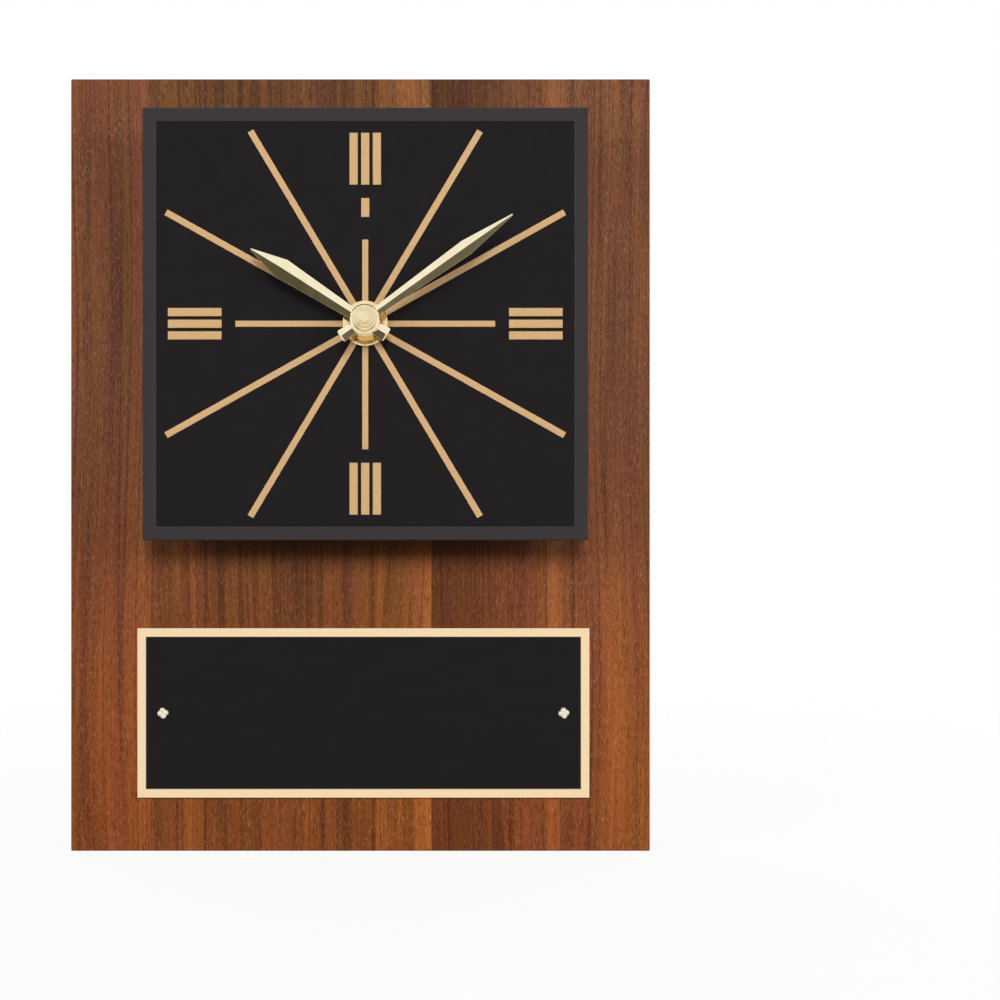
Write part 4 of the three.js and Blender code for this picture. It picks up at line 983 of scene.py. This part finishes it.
@dataclass
class ClockHead:
    """The case, the dial and its gold print."""

    half: Span = (84.85, 82.4)
    face: float = 35.15
    rim: float = 5.4
    outer_edge: float = 0.45
    inner_edge: float = 0.12
    dial_gap: float = 0.15
    dial_back: float = 34.45
    dial_edge: float = 0.15
    bore: float = 4.3
    print_height: float = 0.15
    print_root: float = 0.05
    print_edge: float = 0.05
    margin: float = 4.2
    bar_length: float = 20.4
    bar_width: float = 3.1
    bar_gap: float = 1.33
    line_gap: float = 5.3
    line_width: float = 2.28
    ray_width: float = 2.45
    ray_start: float = 5.6
    ray_overrun: float = 0.8
    block_length: float = 7.4
    block_break: float = 8.9

    def build(self) -> None:
        """Makes the case, the dial sheet and the print on it."""
        Dresser.dress(self.case(), CHARCOAL_ABS, "charcoal", "plaque", "clock_case")
        Dresser.dress(self.sheet(), DIAL_ENAMEL, "dial_black", "plaque", "dial_plate")
        Dresser.dress(self.print(), GOLD_INK, "gold", "plaque")

    def inside(self, inset: float) -> Span:
        """Gives half the width and height of a rectangle inside the case's sides."""
        return (self.half[0] - inset, self.half[1] - inset)

    def case(self) -> Object:
        """Copies the moulded case and rounds the edges of its rim.

        Returns:
            The case.
        """
        case = Bench.from_node("case_moulded", "clock_case")
        Bench.round_off(case, self.outer_edge, 3, lambda cs: self.on_rim(cs, 0))
        Bench.round_off(case, self.inner_edge, 2, lambda cs: self.on_rim(cs, self.rim))
        Bench.smooth(case)
        return case

    def on_rim(self, corners: Sequence[Vector], inset: float) -> bool:
        """Says whether an edge runs round the front, or down one of its corners.

        Args:
            corners: The edge's corners in millimetres.
            inset: How far inside the case's sides the edge lies.

        Returns:
            Whether it does.
        """
        half_x, half_z = self.inside(inset)
        across = all(abs(abs(c.x - HAND_AXIS[0]) - half_x) < NEAR for c in corners)
        along = all(abs(abs(c.z - HAND_AXIS[1]) - half_z) < NEAR for c in corners)
        down = across and along and any(at_depth([c], self.face) for c in corners)
        return down or (at_depth(corners, self.face) and (across or along))

    def sheet(self) -> Object:
        """Makes the dial sheet with its centre hole.

        Returns:
            The sheet.
        """
        inset = self.rim + self.dial_gap
        sheet = Bench.slab("dial_sheet", HAND_AXIS, self.inside(inset), (self.dial_back, self.face))
        hole = Bench.rod("dial_hole", self.bore, (self.dial_back - PAST, self.face + PAST), HAND_AXIS)
        Bench.combine(sheet, Merge.CUT, hole)
        Bench.round_off(sheet, self.dial_edge, 2, lambda cs: self.on_rim(cs, inset))
        Bench.smooth(sheet)
        return sheet

    def mark(self, width: float, start: float, end: float, turn: float, shift: float = 0.0) -> Object:
        """Makes one printed mark and turns it to its hour.

        Args:
            width: Its width.
            start: Its inner end's distance from the hand axis.
            end: Its outer end's distance.
            turn: Its direction in radians, clockwise from twelve.
            shift: How far it stands to one side of that direction.

        Returns:
            The mark.
        """
        span = (shift - width / 2, shift + width / 2)
        depth = (self.face - self.print_root, self.face + self.print_height)
        bar = Bench.block("mark", span, depth, (start, end))
        Bench.break_edges(bar, self.print_edge)
        Bench.turn(bar, math.degrees(turn), HAND_AXIS)
        return bar

    def print(self) -> Object:
        """Prints the bars, lines and rays.

        Returns:
            All the marks as one piece.
        """
        dial_x, dial_z = self.inside(self.rim + self.dial_gap)
        reach_x, reach_z = dial_x - self.margin, dial_z - self.margin
        marks = []
        for hour in range(12):
            # The hours lie on the dial's own ellipse, so the rays spread towards its longer sides
            even = math.radians(30 * hour)
            turn = math.atan2(dial_x * math.sin(even), dial_z * math.cos(even))
            outer = 1 / max(abs(math.sin(turn)) / reach_x, abs(math.cos(turn)) / reach_z)
            if hour % 3:
                marks.append(self.mark(self.ray_width, self.ray_start, outer + self.ray_overrun, turn))
                continue
            scale = outer / reach_x
            bars = outer - scale * self.bar_length
            inner = bars - scale * self.line_gap
            block = inner - scale * self.block_length
            end = inner if hour else block - scale * self.block_break
            marks.append(self.mark(self.line_width, self.ray_start, end, turn))
            if hour == 0:
                marks.append(self.mark(self.bar_width, block, inner, turn))
            for step in (-1, 0, 1):
                shift = step * (self.bar_width + self.bar_gap)
                marks.append(self.mark(self.bar_width, bars, outer, turn, shift))
        Bench.take(marks[0])
        for mark in marks:
            mark.select_set(True)
        bpy.ops.object.join()
        marks[0].name = "dial_gold_print"
        return marks[0]


@dataclass
class Hand:
    """One ridged hand with its round boss.

    Attributes:
        stations: Distance along the blade from the axis, and the width there.
        boss_lip: How far the boss's corners are cut back, as a share of its radius.
        slope: Rise of the ridge, as a share of half the width.
    """

    node: str
    body: str
    degrees: float
    stations: tuple[Span, ...]
    seat: float
    boss_radius: float
    bore: float
    boss_height: float = 2.2
    boss_lip: float = 0.12
    boss_edge: float = 0.15
    blade_seat: float = 0.4
    blade_side: float = 0.35
    blade_edge: float = 0.05
    slope: float = 0.42

    def build(self) -> None:
        """Makes the hand and turns it to its hour."""
        blade = self.blade()
        lip = self.boss_lip * self.boss_radius
        top = self.seat + self.boss_height
        profile = [
            (0, self.seat), (self.boss_radius - lip, self.seat), (self.boss_radius, self.seat + lip),
            (self.boss_radius, top - lip), (self.boss_radius - lip, top), (0, top),
        ]
        boss = Bench.turned("boss", profile)
        Bench.break_edges(boss, self.boss_edge, segments=3, above=20)
        Bench.combine(blade, Merge.JOIN, boss)
        Bench.combine(blade, Merge.CUT, Bench.rod("bore", self.bore, (self.seat - PAST, top + PAST)))
        Bench.turn(blade, self.degrees, HAND_AXIS)
        Bench.smooth(blade, below=18)
        Dresser.dress(blade, HAND_GOLD, "gold", self.body, self.node)

    def blade(self) -> Object:
        """Shapes the blade from a bar: widths first, then the ridge.

        Returns:
            The blade, pointing up from the origin.
        """
        widest = max(width for _, width in self.stations)
        back = self.seat + self.blade_seat
        front = back + self.blade_side
        ends = (self.stations[0][0], self.stations[-1][0])
        blade = Bench.block(self.node + "_gold", (-widest / 2, widest / 2), (back, front), ends)
        with Bench.edit(blade):
            Bench.slice(spot(0, back, 0), (1, 0, 0))
            for along, _ in self.stations[1:-1]:
                Bench.slice(spot(0, back, along), (0, 0, 1))
            for along, width in self.stations:
                Bench.pick(Element.VERTS, lambda cs, along=along: abs(cs[0].z - along) < NEAR)
                bpy.ops.transform.resize(value=(width / widest, 1, 1), center_override=spot(0, back, along))
                ridge = spot(0, front, along) / MM
                Bench.pick(Element.VERTS, lambda cs, ridge=ridge: (cs[0] - ridge).length < NEAR)
                bpy.ops.transform.translate(value=(0, -self.slope * width / 2 * MM, 0))
        Bench.break_edges(blade, self.blade_edge, above=20)
        return blade


@dataclass(frozen=True)
class Ring:
    """One turned piece of the hub.

    Attributes:
        name: The piece's name.
        node: The CAD node that it stands for.
        finish: Its finish.
        body: The body that it moves with.
        seat: Depth of its back.
        bore: Radius of its bore.
        section: Radius and height above the seat of each other corner, from its back to its front.
        edge: Width of its broken edges.
    """

    name: str
    node: str
    finish: Finish
    body: str
    seat: float
    bore: float
    section: Profile
    edge: float = 0.12

    def build(self) -> None:
        """Turns the piece and breaks its edges."""
        corners = [(self.bore, 0), *self.section, (self.bore, 0)]
        profile = [(radius, self.seat + height) for radius, height in corners]
        piece = Bench.turned(self.name, profile, HAND_AXIS, steps=96)
        Bench.break_edges(piece, self.edge, segments=3, above=25)
        Bench.smooth(piece, below=25)
        Dresser.dress(piece, self.finish, "gold", self.body, self.node)


@dataclass
class CaseScrews:
    """The four pan-head screws in the back of the board.

    Attributes:
        head: Radius and distance below its top of each corner of the head.
    """

    seat: float = 3.4
    head_height: float = 2.2
    head: Profile = ((0, 0), (1.6, 0.05), (2.5, 0.3), (3.1, 0.8), (3.3, 1.3), (3.3, 2.2))
    shank_radius: float = 1.5
    tip: float = 28.85
    slot_width: float = 0.8
    slot_length: float = 3.6
    slot_depth: float = 1.1

    def build(self) -> None:
        """Models one screw and copies it to the four corners."""
        pattern = self.pattern()
        places = ((-1, 1), (1, 1), (-1, -1), (1, -1))
        for number, (side, end) in enumerate(places, 1):
            screw = pattern if number == len(places) else Bench.copy("screw", pattern)
            screw.name = f"case_screw_{number}_recessed"
            Bench.turn(screw, 0, (HAND_AXIS[0] + side * SCREW_OFFSET, HAND_AXIS[1] + end * SCREW_OFFSET))
            Bench.smooth(screw)
            Dresser.dress(screw, ZINC_STEEL, "steel", "plaque", f"case_screw_{number}")

    def pattern(self) -> Object:
        """Turns a screw about the origin and cuts its cross recess.

        Returns:
            The screw.
        """
        top = self.seat - self.head_height
        head = [(radius, top + below) for radius, below in self.head]
        radius = self.shank_radius
        shank = [(radius, self.seat), (radius, self.tip - radius), (0, self.tip)]
        screw = Bench.turned("screw", head + shank, steps=48)
        long, short = self.slot_length / 2, self.slot_width / 2
        depth = (top - PAST, top + self.slot_depth)
        recess = [Bench.slab("recess", (0, 0), half, depth) for half in ((long, short), (short, long))]
        Bench.combine(screw, Merge.CUT, *recess)
        return screw


@dataclass
class Movement:
    """The quartz movement: its cover, knob and cell are remade, and the rest keeps its solids.

    Attributes:
        cover_ends: The cover's lower and upper end, in millimetres above the hand axis.
        cover_near: How near to them an edge still counts.
        cell_section: Radius and distance along the cell of each corner.
        finishes: The finish of each solid that is kept.
    """

    cover_half: float = 27.75
    cover_back: float = 13.05
    cover_ends: Span = (-11.72, 28.32)
    cover_near: float = 0.02
    cover_edge: float = 0.4
    knob_back: float = 8.75
    knob_edge: float = 0.35
    cell_depth: float = 20.7
    cell_drop: float = 19.27
    cell_section: Profile = (
        (0, -25.25), (4.6, -25.25), (4.8, -25.0), (6.4, -25.0), (6.9, -25.25), (7.25, -24.75), (7.25, 23.35),
        (6.9, 23.85), (6.4, 23.85), (6.1, 23.5), (3.15, 23.65), (2.75, 23.95), (2.75, 24.95), (2.45, 25.25),
        (0, 25.25),
    )
    finishes: tuple[tuple[Finish, tuple[str, ...]], ...] = (
        (MOVEMENT_ABS, ("movement_front_case", "timer_chip")),
        (ACETAL, (
            "middle_plate", "hour_wheel", "motion_wheel", "third_wheel", "fourth_wheel",
            "intermediate_wheel", "rotor_pinion",
        )),
        (TRAIN_BRASS, ("threaded_bushing", "minute_arbor", "centre_wheel")),
        (ZINC_STEEL, (
            "rotor_magnet", "stator", "coil_core", "quartz_crystal", "positive_contact", "negative_contact",
        )),
        (NYLON, ("coil_bobbin",)),
        (WINDING, ("coil_winding",)),
        (LAMINATE, ("circuit_board",)),
        (RUBBER, ("gasket",)),
    )

    def build(self) -> None:
        """Makes the pieces that show from behind, and dresses the solids inside."""
        Dresser.dress(self.cover(), MOVEMENT_ABS, "movement_black", "plaque", "movement_rear_cover")
        Dresser.dress(self.knob(), ACETAL, "gear_plastic", "setting", "setting_knob")
        Dresser.dress(self.cell(), CELL_FILM, "cell", "plaque", "aa_cell")
        for finish, nodes in self.finishes:
            for node in nodes:
                Dresser.keep(node, finish)

    def cover(self) -> Object:
        """Copies the rear cover and rounds its outer edges.

        Returns:
            The cover.
        """
        cover = Bench.from_node("movement_cover", "movement_rear_cover")
        Bench.round_off(cover, self.cover_edge, 3, self.on_cover_edge)
        Bench.smooth(cover)
        return cover

    def on_cover_edge(self, corners: Sequence[Vector]) -> bool:
        """Says whether an edge runs round the back of the cover.

        Args:
            corners: The edge's corners in millimetres.

        Returns:
            Whether it does.
        """
        x, z = HAND_AXIS
        back = at_depth(corners, self.cover_back)
        side = all(abs(abs(c.x - x) - self.cover_half) < NEAR for c in corners)
        ends = [all(abs(c.z - z - end) < self.cover_near for c in corners) for end in self.cover_ends]
        return back and (side or any(ends))

    def knob(self) -> Object:
        """Copies the setting knob with its pinion and rounds the back of its flutes.

        Returns:
            The knob.
        """
        knob = Bench.from_node("setting_knob_fluted", "setting_knob")
        Bench.round_off(knob, self.knob_edge, 3, lambda cs: at_depth(cs, self.knob_back))
        Bench.smooth(knob, below=35)
        return knob

    def cell(self) -> Object:
        """Turns the dry cell and lays it along its bay.

        Returns:
            The cell.
        """
        cell = Bench.turned("aa_cell_plain", self.cell_section)
        Bench.take(cell)
        cell.rotation_euler.z = math.pi / 2
        cell.location = spot(HAND_AXIS[0], self.cell_depth, HAND_AXIS[1] - self.cell_drop)
        Bench.settle()
        Bench.smooth(cell)
        return cell


@dataclass(frozen=True)
class Lamp:
    """An area lamp, placed by the direction that it comes from.

    Attributes:
        name: The lamp's name.
        azimuth: Degrees to the right of straight ahead.
        elevation: Degrees above the horizon.
        distance: Millimetres from the board.
        size: Width and height in metres.
        level: The light it gives a white surface that faces the front or back, as a share of white.
    """

    name: str
    azimuth: float
    elevation: float
    distance: float
    size: Span
    level: float

    def hang(self, aim: Triple) -> None:
        """Hangs the lamp and points it.

        Args:
            aim: Where it points, to the right, out of the wall and up.
        """
        Bench.clear()
        away = toward(self.azimuth, self.elevation)
        place = spot(*aim) + away * self.distance * MM
        turn = away.to_track_quat("Z", "Y").to_euler()
        bpy.ops.object.light_add(type="AREA", location=place, rotation=turn)
        lamp = bpy.context.object
        lamp.name = self.name
        lamp.visible_glossy = False
        lamp.data.shape = "RECTANGLE"
        lamp.data.size, lamp.data.size_y = self.size
        lamp.data.energy = self.level * (math.pi * self.distance * MM) ** 2 / abs(away.y)


@dataclass(frozen=True)
class Card:
    """A toned card out of the picture, which polished metal mirrors.

    Attributes:
        azimuth: Degrees to the right of straight ahead.
        elevation: Degrees above the horizon.
        spread: Degrees from its middle to where it starts to fade, and to where it ends.
        tone: sRGB hex of the card.
    """

    azimuth: float
    elevation: float
    spread: Span
    tone: str

    def cover(self, recipe: Recipe, ray: Socket, behind: Tint) -> Socket:
        """Lays the card over the mirrored surroundings.

        Args:
            recipe: The world being made.
            ray: The direction looked in.
            behind: The colour of what lies behind the card.

        Returns:
            The colour with the card.
        """
        facing = toward(self.azimuth, self.elevation)
        near = recipe.add("VectorMath", {0: ray, 1: facing}, "Value", operation="DOT_PRODUCT")
        full, end = [math.cos(math.radians(angle)) for angle in self.spread]
        share = recipe.add("MapRange", {"Value": near, "From Min": end, "From Max": full})
        tones = {"Factor": share, COLOUR_A: behind, COLOUR_B: linear(self.tone)}
        return recipe.add("Mix", tones, COLOUR_OUT, data_type="RGBA")


@dataclass
class Studio:
    """Camera, lamps, floor and background.

    Attributes:
        floor_fade: Metres from the board between which the floor fades to the background.
        floor_glow: How much of the background shows on the floor at those two distances.
        ambient: The background's light on the object, as a share of white.
    """

    camera_at: Triple = (16.0, 468.0, -32.0)
    sensor: float = 36.0
    lens: float = 40.95
    shift: Span = (0.099, 0.0461)
    floor_z: float = -152.5
    floor_size: float = 12.0
    floor_tone: str = "f4f4f2"
    floor_fade: Span = (0.05, 0.6)
    floor_glow: Span = (0.88, 1.0)
    aim: Triple = (0.0, 25.0, 10.0)
    ambient: float = 0.17
    cards: tuple[Card, ...] = (
        Card(0.0, -50.0, (20.0, 34.0), "efdab0"),
        Card(-35.0, -21.0, (11.0, 18.0), "5a5645"),
        Card(31.0, -21.0, (8.0, 16.0), "6a675a"),
    )
    lamps: tuple[Lamp, ...] = (
        Lamp("key", 3.0, 29.5, 3000.0, (0.8, 1.1), 0.46),
        Lamp("fill_left", -60.0, 14.7, 2600.0, (1.2, 0.7), 0.185),
        Lamp("fill_right", 60.0, 14.7, 2600.0, (1.2, 0.7), 0.185),
        Lamp("back_left", -135.0, 18.0, 2600.0, (1.2, 1.2), 0.22),
        Lamp("back_right", 135.0, 18.0, 2600.0, (1.2, 1.2), 0.22),
    )

    def build(self) -> None:
        """Sets the camera, the light and the floor."""
        bpy.context.scene.view_settings.view_transform = "Standard"
        self.camera()
        for lamp in self.lamps:
            lamp.hang(self.aim)
        self.world()
        self.floor()

    def camera(self) -> None:
        """Puts the camera square to the board, a little below and right of its middle."""
        Bench.clear()
        bpy.ops.object.camera_add(location=spot(*self.camera_at), rotation=(math.pi / 2, 0, 0))
        camera = bpy.context.object
        camera.data.sensor_width = self.sensor
        camera.data.lens = self.lens
        camera.data.shift_x, camera.data.shift_y = self.shift
        bpy.context.scene.camera = camera

    def world(self) -> None:
        """Makes the background white to look at, with the cards in mirrors, and a dim light otherwise."""
        world = bpy.data.worlds.new("studio")
        bpy.context.scene.world = world
        recipe = Recipe(world)
        rays = recipe.add("LightPath").node.outputs
        ray = recipe.add("TexCoord", out="Generated")
        mirrored: Tint = linear(WHITE)
        for card in self.cards:
            mirrored = card.cover(recipe, ray, mirrored)
        through = {0: rays["Is Camera Ray"], 1: rays["Is Transmission Ray"]}
        clear = recipe.add("Math", through, operation="MAXIMUM")
        tones = {"Factor": clear, COLOUR_A: mirrored, COLOUR_B: linear(WHITE)}
        colour = recipe.add("Mix", tones, COLOUR_OUT, data_type="RGBA")
        seen = recipe.add("Math", {0: clear, 1: rays["Is Glossy Ray"]}, operation="MAXIMUM")
        level = recipe.add("MapRange", {"Value": seen, "To Min": self.ambient, "To Max": 1.0})
        recipe.feed(recipe.tree.nodes["Background"], {"Color": colour, "Strength": level})

    def floor(self) -> None:
        """Lays a pale floor under the board's lower edge, white to look at away from the board."""
        Bench.clear()
        middle = spot(0, 0, self.floor_z)
        bpy.ops.mesh.primitive_plane_add(size=self.floor_size, location=middle)
        floor = bpy.context.object
        floor.name = "floor"
        Bench.settle()
        recipe = Recipe(bpy.data.materials.new("paper_matt_white"))
        shader = recipe.tree.nodes["Principled BSDF"]
        paper = {"Base Color": linear(self.floor_tone), "Roughness": 0.9, "Specular IOR Level": 0.1}
        recipe.feed(shader, paper)
        place = recipe.add("TexCoord", out="Object")
        away = recipe.add("VectorMath", {0: place, 1: middle}, "Value", operation="DISTANCE")
        (near, far), (least, most) = self.floor_fade, self.floor_glow
        fade = {"From Min": near, "From Max": far, "To Min": least, "To Max": most}
        share = recipe.add("MapRange", {"Value": away, **fade})
        looked = recipe.add("LightPath", out="Is Camera Ray")
        seen = recipe.add("Math", {0: looked, 1: share}, operation="MULTIPLY")
        glow = recipe.add("Emission", {"Color": linear(WHITE), "Strength": 1.0})
        mixed = recipe.add("MixShader", {0: seen, 1: shader.outputs[0], 2: glow})
        recipe.feed(recipe.tree.nodes["Material Output"], {"Surface": mixed})
        floor.data.materials.append(recipe.owner)
        floor.visible_diffuse = False
        floor.visible_glossy = False


# A dished washer with a collar, a round nut and a cap of three steps over a blind bore
HUB_STACK = (
    Ring("hub_washer", "dial_washer", WASHER_GOLD, "plaque", 35.4, 4.3, (
        (8.6, 0), (8.6, 0.95), (8.2, 0.95), (5.6, 0.7), (5.4, 1.6), (4.3, 1.6),
    )),
    Ring("hub_nut", "fixing_nut", WASHER_GOLD, "plaque", 37.1, 4.05, (
        (5.4, 0), (5.4, 1.35), (4.95, 1.8), (4.05, 1.8),
    )),
    Ring("hub_cap", "hand_cap_nut", HUB_GOLD, "minute", 44.7, 1.55, (
        (4.7, 0), (4.7, 0.96), (4.2, 1.2), (3.6, 1.2), (3.6, 2.16), (3.2, 2.4), (2.65, 2.4),
        (2.65, 3.1), (1.9, 3.6), (0, 3.72), (0, 2.4), (1.55, 2.4),
    )),
)
HOUR_HAND = Hand(
    node="hour_hand", body="hour", degrees=302.3, seat=39.3, boss_radius=4.9, bore=2.55,
    stations=((-10.05, 3.6), (-9.75, 5.1), (-9.2, 5.7), (-3.43, 4.2), (4.9, 4.2), (36.9, 7.9), (50.9, 0.6)),
)
MINUTE_HAND = Hand(
    node="minute_hand", body="minute", degrees=54.6, seat=42.4, boss_radius=5.7, bore=1.55,
    stations=((-11.2, 3.0), (-10.9, 4.3), (-10.4, 4.9), (-3.99, 3.4), (5.7, 3.4), (46.5, 6.0), (67.9, 0.6)),
)


def main() -> None:
    """Builds the sub-assemblies in order."""
    logging.basicConfig(level=logging.INFO, format="%(name)s: %(message)s")
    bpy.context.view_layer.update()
    clock = (ClockHead(), *HUB_STACK, HOUR_HAND, MINUTE_HAND)
    for part in (Board(), Nameplate(), *clock, CaseScrews(), Movement(), Studio()):
        part.build()
    Bench.clear()


if __name__ == "__main__":
    main()
